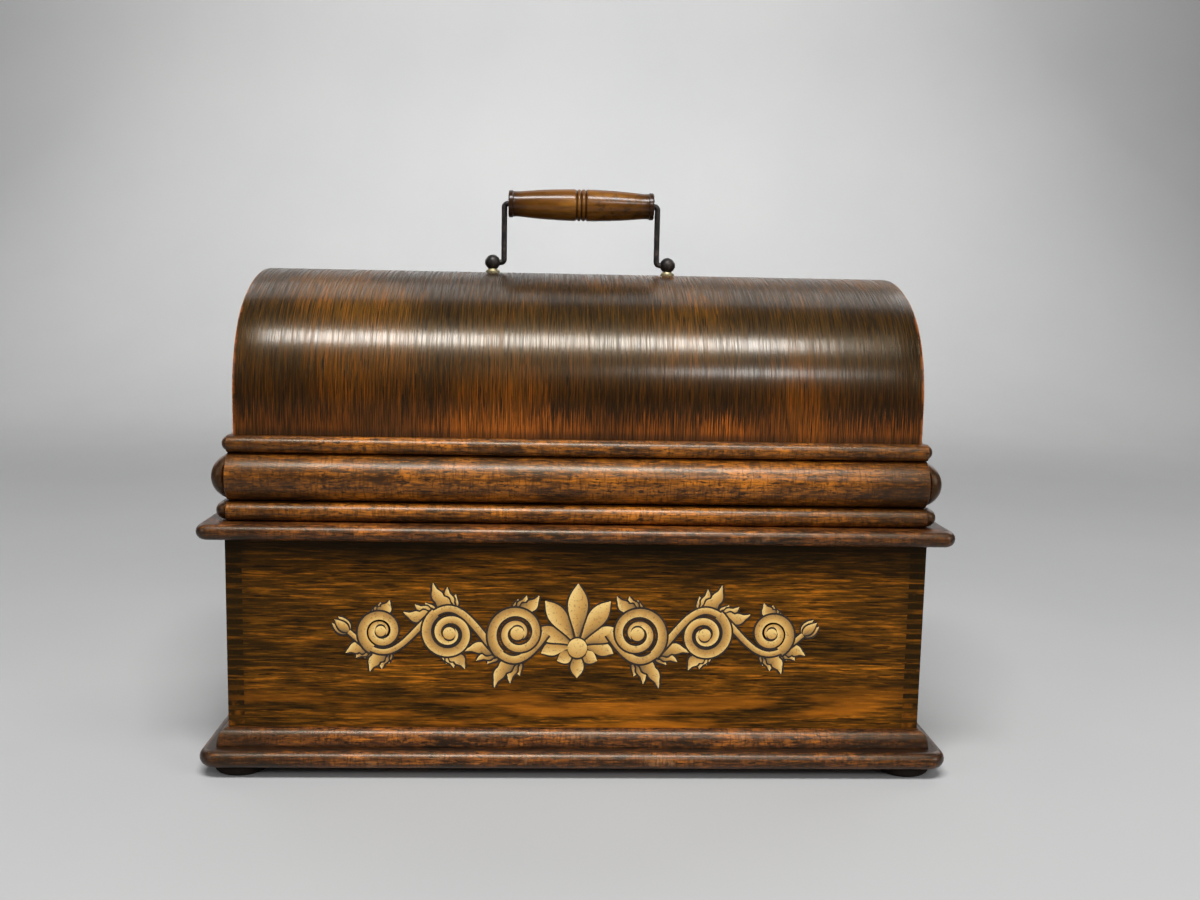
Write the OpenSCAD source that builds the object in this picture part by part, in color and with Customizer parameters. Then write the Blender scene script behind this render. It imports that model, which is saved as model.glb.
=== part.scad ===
// Table phonograph for wax cylinders, closed in its oak case: bent-veneer lid with a bail
// handle, comb-jointed box on a moulded plinth, and inside it the bedplate, mandrel,
// carriage, reproducer and the spring motor that hangs below.
// Millimetres, +Z up, front towards -Y, origin on the ground under the middle of the case.

/* [Case] */
// Width of the comb-jointed box
case_w = 393; // [385:1:420]
// Depth of the comb-jointed box
case_d = 203; // [198:1:230]
// Height of the box panels
panel_h = 129; // [126:1:150]
// Thickness of the box panels
panel_t = 9; // [7:0.5:11]
// Nominal pitch of the comb joint, one finger and one gap
comb_pitch = 6; // [5:0.5:12]
// Height of the feet
foot_h = 6; // [4:0.5:10]
// Diameter of the feet
foot_d = 30; // [20:1:34]
// Thickness of the bottom board
bottom_t = 9; // [6:0.5:11]
// Height of the plinth moulding
plinth_h = 20; // [17:0.5:26]
// Projection of the plinth beyond the box
plinth_out = 15; // [14:0.5:20]
// Height of the plinth's lower torus
plinth_torus_h = 10; // [8:0.5:12]
// Radius of the quarter round above the plinth torus
plinth_ovolo_r = 8.5; // [6:0.5:8.5]
// Height of the rim board
rim_h = 9; // [7:0.5:12]
// Projection of the rim beyond the box
rim_out = 13.5; // [13:0.5:18]
// Corner radius of plinth and rim, seen from above
frame_corner_r = 7; // [4:0.5:9]
// Side of the square rails that carry the bedplate
rail_s = 12; // [8:0.5:14]

/* [Lid] */
// Set-back of the lid from the box on each side
lid_inset = 4.25; // [3.5:0.25:6]
// Seating gap between rim and lid
lid_gap = 0.2; // [0.1:0.05:0.4]
// Thickness of the lid's frame boards
lid_wall = 10; // [8:0.5:12]
// Height of the lower bead
low_bead_h = 10.5; // [9:0.5:13]
// Projection of the lower bead
low_bead_out = 9.3; // [8:0.1:11]
// Height of the half-round moulding
torus_h = 27; // [24:0.5:30]
// Projection of the half-round moulding
torus_out = 11.5; // [10:0.1:12.5]
// Height of the upper bead
top_bead_h = 9.5; // [8:0.5:12]
// Projection of the upper bead
top_bead_out = 6; // [5:0.1:8]
// Rise of the dome above the frame
dome_rise = 92.5; // [88:0.5:105]
// Thickness of the bent veneer
dome_t = 6; // [4:0.5:7]
// Straight height of the dome above the frame
shoulder_h = 20; // [14:1:24]
// Radius of the dome's shoulders
shoulder_r = 65; // [55:1:68]

/* [Handle] */
// Length of the wooden grip
grip_l = 90; // [70:1:130]
// Diameter of the grip in the middle
grip_d = 19.5; // [16:0.5:20]
// Diameter of the grip behind its end collars
grip_end_d = 14.6; // [12:0.2:16]
// Diameter of the grip's end collars
grip_collar_d = 16.6; // [14:0.2:18]
// Height of the grip's axis above its pivots
grip_reach = 36; // [34:0.5:50]
// Diameter of the bail wire
wire_d = 3.5; // [3:0.1:4.5]
// Distance of each wire leg from the end of the grip
leg_gap = 2.6; // [2.4:0.1:6]
// Diameter of the ball heads
ball_d = 9.4; // [8:0.2:11]
// Height of the ball centres above the ridge
ball_up = 6.2; // [6.1:0.1:9]
// Diameter of the collars under the balls
collar_d = 13; // [11:0.5:16]
// Thickness of the collars under the balls
collar_t = 1.6; // [1.2:0.1:2]

/* [Bedplate and bearings] */
// Depth of the bedplate's top below the rim's top
bed_drop = 3; // [1:0.5:3.5]
// Thickness of the bedplate
bed_t = 6; // [5:0.5:7]
// Gap between the bedplate and the box
bed_gap = 1.5; // [1:0.25:3]
// Height of the mandrel axis above the bedplate
mandrel_up = 44; // [42:0.5:46]
// Place of the mandrel axis, front to back
mandrel_y = -15; // [-17:0.5:-13]
// Thickness of the bearing pillars along the axis
pillar_t = 14; // [12:0.5:15]
// Place of the left bearing pillar's outer face
left_pillar_x = -126; // [-128:0.5:-124]
// Place of the middle bearing pillar's left face
mid_pillar_x = -7; // [-8:0.5:-6]
// Radius of the bearing bosses
boss_r = 12; // [10:0.5:13]
// Width of the bearing pillars at their foot
pillar_foot = 46; // [40:1:50]
// Thickness of the bearing caps' flanges
cap_flange_t = 5; // [4:0.5:6]
// Head diameter of the bed and cap screws
screw_head_d = 6; // [5:0.2:7]
// Head height of the bed and cap screws
screw_head_h = 2.4; // [2:0.1:3]

/* [Mandrel] */
// Length of the mandrel
mandrel_l = 108; // [104:0.5:109]
// Diameter of the mandrel at its thick end
mandrel_big_d = 46.9; // [46:0.1:47.5]
// Diameter of the mandrel at its thin end
mandrel_small_d = 42.3; // [41:0.1:43]
// Wall of the mandrel
mandrel_wall = 4; // [3:0.5:6]
// Diameter of the mandrel shaft
shaft_d = 8; // [7:0.5:9]
// Diameter of the feed screw on the shaft
feed_d = 10; // [9.5:0.1:11]
// Radius of the mandrel pulley where the belt runs
mandrel_pulley_r = 21.6; // [20.4:0.6:22.2]
// Width of the belt pulleys
pulley_w = 12; // [11:0.5:13]
// Width of the belt
belt_w = 9; // [7:0.5:9.5]
// Thickness of the belt
belt_t = 1.6; // [1.2:0.1:1.7]

/* [Carriage] */
// Diameter of the back rod
rod_d = 9; // [8:0.5:9.5]
// Place of the back rod, front to back
rod_y = 45; // [44:0.5:47]
// Height of the back rod above the bedplate
rod_up = 34; // [32:0.5:35]
// Wall of the carriage bush
bush_wall = 2.4; // [2:0.2:3]
// Wall of the carriage sleeve
sleeve_wall = 3; // [2.5:0.25:3.5]
// Length of the carriage sleeve
sleeve_l = 146; // [140:1:148]
// Width of the carriage arm
arm_w = 16; // [12:0.5:18]
// Height of the arm's eye above the mandrel axis
eye_up = 36; // [36:0.5:38]
// Thickness of the arm's eye
eye_t = 8; // [7:0.5:8.5]
// Wall of the arm's eye
eye_wall = 4.5; // [4:0.25:5]
// Diameter of the reproducer's body
reproducer_d = 37; // [35:0.5:38]
// Diameter of the horn nipple
nipple_d = 14; // [12:0.5:16]
// Length of the horn nipple
nipple_l = 16; // [13:0.5:17]
// Place of the straight edge, front to back
edge_y = -63; // [-65:0.5:-62]
// Width of the straight edge
edge_w = 6; // [5:0.5:7]
// Height of the straight edge's top above the mandrel axis
edge_up = 20; // [18:0.5:22]

/* [Spring motor] */
// Thickness of the motor plates
plate_t = 4; // [3:0.5:4.5]
// Place of the left motor plate's outer face
left_plate_x = -92; // [-93:0.5:-91.5]
// Distance between the motor plates
plate_gap = 96; // [95:0.5:98]
// Depth of the barrel axis below the bedplate
barrel_drop = 61; // [58:0.5:64]
// Place of the barrel axis, front to back
barrel_y = 38; // [37:0.5:40]
// Diameter of the spring barrel
barrel_d = 72; // [68:0.5:76]
// Wall of the spring barrel
barrel_wall = 3; // [2.5:0.25:4]
// Module of the barrel gear
barrel_mod = 0.9; // [0.9:0.02:0.94]
// Module of the second wheel
second_mod = 0.7; // [0.68:0.01:0.72]
// Module of the third wheel
third_mod = 0.6; // [0.58:0.01:0.62]
// Module of the winding gear
winding_mod = 1.25; // [1.2:0.01:1.26]
// Thickness of the large gears
gear_t = 4; // [3:0.25:5]
// Diameter of the arbors in the train
arbor_d = 6; // [5:0.25:6.5]
// Diameter of the barrel arbor
barrel_arbor_d = 12; // [10:0.5:13]
// Diameter of the winding shaft
winding_d = 8; // [7:0.25:9]
// Diameter of the winding shaft's free end
crank_end_d = 6.5; // [5.5:0.25:6.75]
// Length of winding shaft that stands out of the case
winding_out = 8.5; // [7:0.5:12]
// Radius of the motor pulley where the belt runs
motor_pulley_r = 18; // [17:0.5:18.5]

/* [Fits] */
// Radial clearance of running fits
fit = 0.05; // [0.03:0.01:0.08]
// Clearance between faces that pass each other
clear = 0.4; // [0.35:0.05:0.5]
// Thinning of each gear tooth for backlash
backlash = 0.12; // [0.1:0.01:0.16]

/* [Hidden] */
$fn = 96;

// Levels from the ground up
panel_z = foot_h;
rim_z = panel_z + panel_h;
rim_top = rim_z + rim_h;
lid_z = rim_top + lid_gap;
frame_h = low_bead_h + torus_h + top_bead_h;
dome_z = lid_z + frame_h;
ridge_z = dome_z + dome_rise;
pivot_z = ridge_z + ball_up;

// Lid outline
lid_w = case_w - 2 * lid_inset;
lid_d = case_d - 2 * lid_inset;

// Gearing: tooth counts, addendum and dedendum in modules, pressure angle
barrel_teeth = 90;
first_pinion_teeth = 15;
second_teeth = 84;
second_pinion_teeth = 14;
third_teeth = 70;
governor_teeth = 14;
winding_teeth = 40;
winding_pinion_teeth = 20;
ratchet_teeth = 24;
addendum = 0.8;
dedendum = 1.1;
pressure_angle = 20;

// Bedplate, mandrel axis and carriage
bed_z = rim_top - bed_drop;
bed_under = bed_z - bed_t;
bed_w = case_w - 2 * panel_t - 2 * bed_gap;
bed_d = case_d - 2 * panel_t - 2 * bed_gap;
axis_z = bed_z + mandrel_up;
rod_z = bed_z + rod_up;
mid_pillar_end = mid_pillar_x + pillar_t;
collar_gap = 6;
mandrel_x = mid_pillar_end + collar_gap;
mandrel_end = mandrel_x + mandrel_l;
shaft_over = 2;
shaft_end = mandrel_end + shaft_over;
pulley_gap = 12;
pulley_x = left_pillar_x - pulley_w - pulley_gap;
shaft_start = pulley_x - shaft_over;
feed_gap = 2;
feed_x = left_pillar_x + pillar_t + feed_gap;
feed_end = mid_pillar_x - feed_gap;
feed_inset = 9;
nut_x = feed_x + feed_inset;
nut_w = 8;
// The eye starts over the thick end of the wax cylinder and travels as far from the thin end
record_in = 12;
eye_x = mandrel_x + record_in;
carriage_travel = mandrel_l - 2 * record_in;
eye_z = axis_z + eye_up;
eye_r = reproducer_d / 2 + fit + eye_wall;
lug_l = 10;
sleeve_over = 1;
sleeve_x = nut_x - lug_l / 2 - sleeve_over;
bush_r = rod_d / 2 + fit + bush_wall;
sleeve_r = bush_r + fit + sleeve_wall;
toe_w = 12;
end_spare = 28;
rod_over = 4;
rod_x = left_pillar_x - rod_over;
rod_end = sleeve_x + sleeve_l + carriage_travel + end_spare;
post_t = 12;
edge_z = axis_z + edge_up;
edge_h = 10;
edge_x = mid_pillar_x - rod_over;
edge_end = eye_x + toe_w / 2 + carriage_travel + end_spare;

// End gate: vertical pin behind the mandrel's free end
gate_t = 8;
gate_reach = 10;
gate_x = mandrel_end + gate_reach;
gate_arm_l = 37;
gate_arm_h = 14;
gate_pin_y = mandrel_y + gate_arm_l;
gate_pin_foot = 4;
gate_pin_r = 3;
gate_boss_r = 8;
gate_post_h = 24;
gate_z = bed_z + gate_post_h + clear;

// Spring motor axes, each set out from the one before by its gear centres
barrel_z = bed_under - barrel_drop;
first_span = barrel_mod * (barrel_teeth + first_pinion_teeth) / 2;
first_dir = 191.5;
first_y = barrel_y + first_span * cos(first_dir);
first_z = barrel_z + first_span * sin(first_dir);
second_span = second_mod * (second_teeth + second_pinion_teeth) / 2;
second_dir = 123;
pulley_y = first_y + second_span * cos(second_dir);
pulley_z = first_z + second_span * sin(second_dir);
third_span = third_mod * (third_teeth + governor_teeth) / 2;
third_dir = 217;
governor_y = pulley_y + third_span * cos(third_dir);
governor_z = pulley_z + third_span * sin(third_dir);
winding_span = winding_mod * (winding_teeth + winding_pinion_teeth) / 2;
winding_dir = 217;
winding_y = barrel_y + winding_span * cos(winding_dir);
winding_z = barrel_z + winding_span * sin(winding_dir);

// Spring motor places along the axes
plate_in = left_plate_x + plate_t;
right_plate_x = plate_in + plate_gap;
right_plate_end = right_plate_x + plate_t;
wheel_gap = 10;
third_x = plate_in + 8;
second_x = third_x + gear_t + wheel_gap;
barrel_gear_x = second_x + gear_t + wheel_gap;
barrel_gear_t = 6;
drum_x = barrel_gear_x + barrel_gear_t;
drum_gap = 13;
drum_end = right_plate_x - drum_gap;
cover_t = 4;
pinion_over = 2;
plate_clear = 2;
winding_gear_x = right_plate_end + plate_clear;
winding_gear_t = 5;
ratchet_x = winding_gear_x + winding_gear_t;
ratchet_t = 4;
ratchet_r = 18;
ratchet_depth = 2.4;
case_side = case_w / 2;
escutcheon_t = 1.6;
escutcheon_r = 13;
crank_bush_wall = 2.5;
crank_bush_r = winding_d / 2 + fit + crank_bush_wall;
arbor_r = arbor_d / 2;
governor_shaft_r = 2;
hub_r = 6;
governor_hub_x = barrel_gear_x + 4;
governor_disc_x = right_plate_x - 28;
governor_disc_r = 14;
governor_disc_t = 3;
plate_margin = 8;
plate_low = barrel_drop + barrel_d / 2 + plate_margin;
plate_top_drop = 13;
plate_front_in = 25;
plate_front = governor_y - plate_front_in;
plate_back = barrel_y + barrel_d / 2 + plate_margin;
plate_corner_r = 10;

// Colours
oak = [0.52, 0.33, 0.16];
dark_oak = [0.38, 0.20, 0.10];
honey = [0.80, 0.52, 0.24];
japan = [0.07, 0.07, 0.07];
iron = [0.20, 0.17, 0.15];
steel = [0.70, 0.70, 0.68];
nickel = [0.80, 0.79, 0.75];
brass = [0.80, 0.62, 0.28];
leather = [0.42, 0.25, 0.13];

// Rod along X from x0 to x1
module rod(x0, x1, y, z, r) {
    translate([x0, y, z]) rotate([0, 90, 0]) cylinder(r = r, h = x1 - x0);
}

// Stands a flat outline up: its x runs to the back, its y up, and it is extruded along X
module across(x, y, z, t) {
    translate([x, y, z]) rotate([90, 0, 90]) linear_extrude(t) children();
}

// Children and their mirror image, left and right or front and back
module both(axis) {
    children();
    mirror(axis) children();
}

// Rectangle with round corners, centred
module round_rect(w, d, r) {
    square([w - 2 * r, d], center = true);
    square([w, d - 2 * r], center = true);
    for (sx = [-1, 1], sy = [-1, 1])
        translate([sx * (w / 2 - r), sy * (d / 2 - r)]) circle(r);
}

// Points along an arc, from its first angle to its last
function arc(centre, r, a0, a1, n) = [for (k = [0 : n])
    let (a = a0 + (a1 - a0) * k / n) centre + r * [cos(a), sin(a)]];
function reversed(list) = [for (k = [len(list) - 1 : -1 : 0]) list[k]];
// A list without its first entry, for an arc that goes on from another
function rest_of(list) = [for (k = [1 : len(list) - 1]) list[k]];

// Involute gear outline with a tooth on the +x axis, turned by phase
function inv(a) = tan(a) * 180 / PI - a;
function flank(r, rp, z, m) =
    let (rb = rp * cos(pressure_angle), a = r > rb ? acos(rb / r) : 0,
         half = (PI * m / 2 - backlash) / 2 / rp * 180 / PI)
    half + inv(pressure_angle) - inv(a);
function gear_points(z, m) =
    let (rp = z * m / 2, rt = rp + addendum * m, rr = rp - dedendum * m,
         rb = rp * cos(pressure_angle), r0 = max(rb, rr),
         radii = [rr, r0, (r0 + 2 * rp) / 3, (2 * rp + rt) / 3, rt])
    [for (k = [0 : z - 1], s = [-1, 1], i = [0 : 4])
        let (r = radii[s < 0 ? i : 4 - i], a = k * 360 / z + s * flank(r, rp, z, m))
        [r * cos(a), r * sin(a)]];
module gear_outline(z, m, phase) {
    rotate(phase) polygon(gear_points(z, m));
}

// Turn that puts a gap of the driven gear where the driver's tooth points
function mesh_phase(dir, z) = dir + 180 + 180 / z;

// Comb joint: gaps in every other finger at both ends of a panel
comb_count = round(panel_h / comb_pitch);
comb_step = panel_h / comb_count;
module comb_gaps(length, lift) {
    for (k = [0 : comb_count - 1], end = [0, 1])
        translate([end * (length - panel_t), 0, k * comb_step + lift])
            cube([panel_t, panel_t, comb_step / 2]);
}

module panel(length, lift) {
    translate([-length / 2, 0, 0]) difference() {
        cube([length, panel_t, panel_h]);
        comb_gaps(length, lift);
    }
}

module long_panels() {
    color(oak) both([0, 1, 0])
        translate([0, -case_d / 2, panel_z]) panel(case_w, comb_step / 2);
}

module end_panels() {
    color(oak) difference() {
        both([1, 0, 0])
            translate([case_side, 0, panel_z]) rotate(90) panel(case_d, 0);
        rod(0, case_side + 1, winding_y, winding_z, crank_bush_r + fit);
    }
}

module bottom_board() {
    color(oak) translate([0, 0, panel_z + bottom_t / 2])
        cube([case_w - 2 * panel_t, case_d - 2 * panel_t, bottom_t], center = true);
}

// Plinth section: torus nose, quarter round above it and a thin fillet on top
plinth_fillet = 4;
module plinth_section() {
    nose_r = plinth_torus_h / 2;
    square([plinth_out - nose_r, plinth_torus_h]);
    translate([plinth_out - nose_r, nose_r]) circle(nose_r);
    square([plinth_fillet, plinth_h]);
    intersection() {
        translate([plinth_fillet, plinth_torus_h]) circle(plinth_ovolo_r);
        translate([0, plinth_torus_h]) square(plinth_fillet + plinth_ovolo_r);
    }
}

// Rim section: flat board over the panel with a full round nose
module rim_section() {
    translate([-panel_t, 0]) square([panel_t + rim_out - rim_h / 2, rim_h]);
    translate([rim_out - rim_h / 2, rim_h / 2]) circle(rim_h / 2);
}

// One mitred side of a moulded frame along X, its section pointing to -Y
module mitred_side(w, d, out, h) {
    intersection() {
        across(-w / 2 - out, -d / 2, 0, w + 2 * out) mirror([1, 0]) children();
        linear_extrude(h) polygon([[-w / 2 - out, -d / 2 - out], [w / 2 + out, -d / 2 - out],
            [w / 2 - panel_t, -d / 2 + panel_t], [-w / 2 + panel_t, -d / 2 + panel_t]]);
        linear_extrude(h) round_rect(w + 2 * out, d + 2 * out, frame_corner_r);
    }
}

module plinth_long_mouldings() {
    color(dark_oak) translate([0, 0, panel_z]) both([0, 1, 0])
        mitred_side(case_w, case_d, plinth_out, plinth_h) plinth_section();
}

module plinth_end_mouldings() {
    color(dark_oak) translate([0, 0, panel_z]) both([1, 0, 0]) rotate(90)
        mitred_side(case_d, case_w, plinth_out, plinth_h) plinth_section();
}

module rim_long_boards() {
    color(dark_oak) translate([0, 0, rim_z]) both([0, 1, 0])
        mitred_side(case_w, case_d, rim_out, rim_h) rim_section();
}

module rim_end_boards() {
    color(dark_oak) translate([0, 0, rim_z]) both([1, 0, 0]) rotate(90)
        mitred_side(case_d, case_w, rim_out, rim_h) rim_section();
}

// Low round feet under the plinth corners, with a chamfered lower edge
foot_chamfer = 1.2;
foot_in = 6;
module feet() {
    color(japan) for (sx = [-1, 1], sy = [-1, 1])
        translate([sx * (case_side - foot_in), sy * (case_d / 2 - foot_in), 0]) {
            cylinder(r1 = foot_d / 2 - foot_chamfer, r2 = foot_d / 2, h = foot_chamfer);
            translate([0, 0, foot_chamfer]) cylinder(d = foot_d, h = foot_h - foot_chamfer);
        }
}

// Rails along the inside of the front and back panels, under the bedplate
module bed_rails() {
    color(oak) both([0, 1, 0])
        translate([-case_side + panel_t, -case_d / 2 + panel_t, bed_under - rail_s])
            cube([case_w - 2 * panel_t, rail_s, rail_s]);
}

// Flanged bush in the right panel where the crank goes in
module crank_escutcheon() {
    color(brass) difference() {
        union() {
            rod(case_side - panel_t, case_side, winding_y, winding_z, crank_bush_r);
            rod(case_side, case_side + escutcheon_t, winding_y, winding_z, escutcheon_r);
        }
        rod(case_side - panel_t - 1, case_side + escutcheon_t + 1, winding_y, winding_z,
            winding_d / 2 + fit);
    }
}

// Arch of the dome from back to front: straight shoulders, shoulder arcs and one crown arc
// tangent to them. The inset gives the same arch inside the veneer.
shoulder_steps = 14;
crown_steps = 28;
function arch(inset) =
    let (cy = lid_d / 2 - shoulder_r, rise = dome_rise - shoulder_h,
         crown = (cy * cy + rise * rise - shoulder_r * shoulder_r) / (2 * (rise - shoulder_r)),
         crown_z = dome_rise - crown, lean = atan2(shoulder_h - crown_z, cy),
         half = lid_d / 2 - inset, r = shoulder_r - inset)
    concat([[half, 0]],
        arc([cy, shoulder_h], r, 0, lean, shoulder_steps),
        rest_of(arc([0, crown_z], crown - inset, lean, 180 - lean, crown_steps)),
        rest_of(arc([-cy, shoulder_h], r, 180 - lean, 180, shoulder_steps)),
        [[-half, 0]]);

module lid_dome() {
    color(dark_oak) across(-lid_w / 2, 0, dome_z, lid_w)
        polygon(concat(arch(0), reversed(arch(dome_t))));
}

// End boards: frame height below, and the arch that carries the veneer above
module lid_ends() {
    half = lid_d / 2;
    color(oak) both([1, 0, 0]) across(-lid_w / 2, 0, dome_z, lid_wall)
        polygon(concat([[-half, 0], [-half, -frame_h], [half, -frame_h], [half, 0]],
            arch(dome_t)));
}

module lid_rails() {
    color(oak) both([0, 1, 0])
        translate([-lid_w / 2 + lid_wall, -lid_d / 2, lid_z])
            cube([lid_w - 2 * lid_wall, lid_wall, frame_h]);
}

// Lid moulding section: bead, half round and bead, one above the other
module bead_section(h, out) {
    nose = h / 2;
    translate([0, nose]) {
        translate([0, -nose]) square([max(out - nose, 0.5), h]);
        intersection() {
            translate([out - nose, 0]) circle(nose);
            translate([0, -nose]) square([out + nose, h]);
        }
    }
}

module lid_section() {
    bead_section(low_bead_h, low_bead_out);
    translate([0, low_bead_h]) torus_section();
    translate([0, low_bead_h + torus_h]) bead_section(top_bead_h, top_bead_out);
}

// Half round of the lid: an arc through the three points of its height and projection
module torus_section() {
    r = (torus_h * torus_h / 4 + torus_out * torus_out) / (2 * torus_out);
    intersection() {
        translate([torus_out - r, torus_h / 2]) circle(r);
        square([torus_out + 1, torus_h]);
    }
}

// Front and back mouldings stop at the lid's ends
module lid_long_mouldings() {
    color(honey) both([0, 1, 0])
        across(-lid_w / 2, -lid_d / 2, lid_z, lid_w) mirror([1, 0]) lid_section();
}

// End mouldings run through to the front, so that their ends show there
module lid_end_mouldings() {
    color(honey) both([1, 0, 0]) rotate(90)
        across(-lid_d / 2 - low_bead_out, -lid_w / 2, lid_z, lid_d + 2 * low_bead_out)
            mirror([1, 0]) lid_section();
}

// Handle: ball heads on the ridge, wire bail through them and a turned grip
leg_x = grip_l / 2 + leg_gap;
wire_r = wire_d / 2;
bend_r = 0.6 * wire_d;
ball_gap = 0.2;
ball_x = leg_x + bend_r + ball_d / 2 + ball_gap;
post_neck_r = 2.6;
collar_taper = 1;
module handle_posts() {
    color(iron) both([1, 0, 0]) difference() {
        translate([ball_x, 0, 0]) {
            translate([0, 0, pivot_z]) sphere(ball_d / 2);
            translate([0, 0, ridge_z]) cylinder(r = post_neck_r, h = ball_up);
        }
        rod(ball_x - ball_d, ball_x + ball_d, 0, pivot_z, wire_r + fit);
    }
}

module handle_collars() {
    color(brass) both([1, 0, 0]) translate([ball_x, 0, ridge_z]) difference() {
        cylinder(d1 = collar_d, d2 = collar_d - 2 * collar_taper, h = collar_t);
        translate([0, 0, -1]) cylinder(r = post_neck_r + fit, h = collar_t + 2);
    }
}

// Quarter bend of the wire in the XZ plane, from +X to +Z
module wire_bend() {
    rotate([90, 0, 0]) rotate_extrude(angle = 90) translate([bend_r, 0]) circle(wire_r);
}

module handle_bail() {
    grip_z = pivot_z + grip_reach;
    tenon = 10;
    color(iron) both([1, 0, 0]) {
        rod(leg_x + bend_r, ball_x + ball_d / 2, 0, pivot_z, wire_r);
        translate([leg_x + bend_r, 0, pivot_z + bend_r]) rotate([0, 180, 0]) wire_bend();
        translate([leg_x, 0, pivot_z + bend_r])
            cylinder(r = wire_r, h = grip_reach - 2 * bend_r);
        translate([leg_x - bend_r, 0, grip_z - bend_r]) wire_bend();
        rod(grip_l / 2 - tenon, leg_x - bend_r, 0, grip_z, wire_r);
    }
}

// Turned grip: barrel-shaped body, end collars and three grooves in the middle
groove_pitch = 2.8;
groove_r = 0.9;
end_collar = 3;
grip_stations = 16;
module handle_grip() {
    grip_z = pivot_z + grip_reach;
    sag = (grip_d - grip_end_d) / 2;
    half = grip_l / 2 - end_collar;
    belly = (half * half + sag * sag) / (2 * sag);
    bore = 11;
    collar = grip_collar_d / 2;
    body = [for (k = [0 : grip_stations])
        let (x = half * (2 * k / grip_stations - 1))
        [grip_d / 2 - belly + sqrt(belly * belly - x * x), grip_l / 2 + x]];
    color(honey) difference() {
        translate([-grip_l / 2, 0, grip_z]) rotate([0, 90, 0]) {
            rotate_extrude() polygon(concat([[0, 0], [collar - 1, 0], [collar, 1],
                [collar, end_collar]], body, [[collar, grip_l - end_collar], [collar, grip_l - 1],
                [collar - 1, grip_l], [0, grip_l]]));
        }
        for (k = [-1, 0, 1]) translate([k * groove_pitch, 0, grip_z]) rotate([0, 90, 0])
            rotate_extrude() translate([grip_d / 2 + 0.2, 0]) circle(groove_r);
        both([1, 0, 0]) rod(grip_l / 2 - bore, grip_l / 2 + 1, 0, grip_z, wire_r + fit);
    }
}

// Bearing pillar: tapered web with a round boss, split at the shaft's axis
module pillar(x) {
    across(x, mandrel_y, 0, pillar_t) polygon([[-pillar_foot / 2, bed_z],
        [pillar_foot / 2, bed_z], [cap_half, axis_z - boss_r], [cap_half, axis_z],
        [-cap_half, axis_z], [-cap_half, axis_z - boss_r]]);
}

// Post that carries the back rod or the straight edge, with its foot on the bedplate
module post(x, y, top, half, foot) {
    across(x, y, 0, post_t) polygon([[-foot, bed_z], [foot, bed_z], [half, top], [-half, top]]);
}

cap_half = boss_r + screw_head_d;
belt_slot_margin = 5;
post_in = 2;
rod_post_x = [left_pillar_x + 1, rod_end - post_t - post_in];
edge_post_x = [edge_x + post_in, edge_end - post_t - post_in];
start_in = 21;
start_back = 36;
start_x = -bed_w / 2 + start_in;
start_y = -bed_d / 2 + start_back;
start_stud_r = 3;
start_stud_h = 6;
speed_in = 8;
speed_front = 4;
speed_x = governor_disc_x - speed_in;
speed_y = governor_y - speed_front;
speed_r = 2.5;
bed_screw_in = 8;
bed_corner_r = 4;
module bedplate() {
    color(japan) difference() {
        union() {
            translate([0, 0, bed_under]) linear_extrude(bed_t) round_rect(bed_w, bed_d, bed_corner_r);
            pillar(left_pillar_x);
            pillar(mid_pillar_x);
            for (x = rod_post_x) {
                post(x, rod_y, rod_z, rod_d, 2 * rod_d);
                rod(x, x + post_t, rod_y, rod_z, rod_d);
            }
            for (x = edge_post_x) post(x, edge_y, edge_z - edge_h, edge_w, 2 * edge_w);
            translate([gate_x, gate_pin_y, bed_z]) cylinder(r = gate_boss_r, h = gate_post_h);
            translate([start_x, start_y, bed_z]) cylinder(r = start_stud_r, h = start_stud_h);
        }
        rod(shaft_start, shaft_end, mandrel_y, axis_z, shaft_d / 2 + fit);
        rod(rod_x - 1, rod_end + 1, rod_y, rod_z, rod_d / 2 + fit);
        translate([gate_x, gate_pin_y, bed_z + gate_pin_foot])
            cylinder(r = gate_pin_r + fit, h = gate_post_h);
        translate([speed_x, speed_y, 0]) cylinder(r = speed_r + fit, h = bed_z + 1);
        translate([pulley_x - belt_slot_margin / 2, belt_slot_y, bed_under - 1])
            cube([pulley_w + belt_slot_margin, belt_slot_d, bed_t + 2]);
    }
}
belt_slot_y = min(mandrel_y - mandrel_pulley_r, pulley_y - motor_pulley_r) - belt_slot_margin;
belt_slot_d = mandrel_y + mandrel_pulley_r + belt_slot_margin - belt_slot_y;

// Upper halves of the shaft bearings
module bearing_caps() {
    color(japan) for (x = [left_pillar_x, mid_pillar_x]) difference() {
        union() {
            translate([x, mandrel_y - cap_half, axis_z])
                cube([pillar_t, 2 * cap_half, cap_flange_t]);
            intersection() {
                rod(x, x + pillar_t, mandrel_y, axis_z, boss_r);
                translate([x, mandrel_y - boss_r, axis_z])
                    cube([pillar_t, 2 * boss_r, boss_r]);
            }
        }
        rod(x - 1, x + pillar_t + 1, mandrel_y, axis_z, shaft_d / 2 + fit);
    }
}

// Slotted screw head
module screw_head(pos) {
    slot_w = 1;
    slot_t = 1;
    translate(pos) difference() {
        cylinder(d = screw_head_d, h = screw_head_h);
        translate([-screw_head_d, -slot_w / 2, screw_head_h - slot_t])
            cube([2 * screw_head_d, slot_w, slot_t + 1]);
    }
}

module bed_screws() {
    reach = boss_r + screw_head_d / 2 + clear;
    color(steel) {
        for (x = [left_pillar_x, mid_pillar_x], s = [-1, 1])
            screw_head([x + pillar_t / 2, mandrel_y + s * reach, axis_z + cap_flange_t]);
        for (sx = [-1, 1], sy = [-1, 1])
            screw_head([sx * (bed_w / 2 - bed_screw_in), sy * (bed_d / 2 - bed_screw_in), bed_z]);
    }
}

module back_rod() {
    color(nickel) rod(rod_x, rod_end, rod_y, rod_z, rod_d / 2);
}

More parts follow.
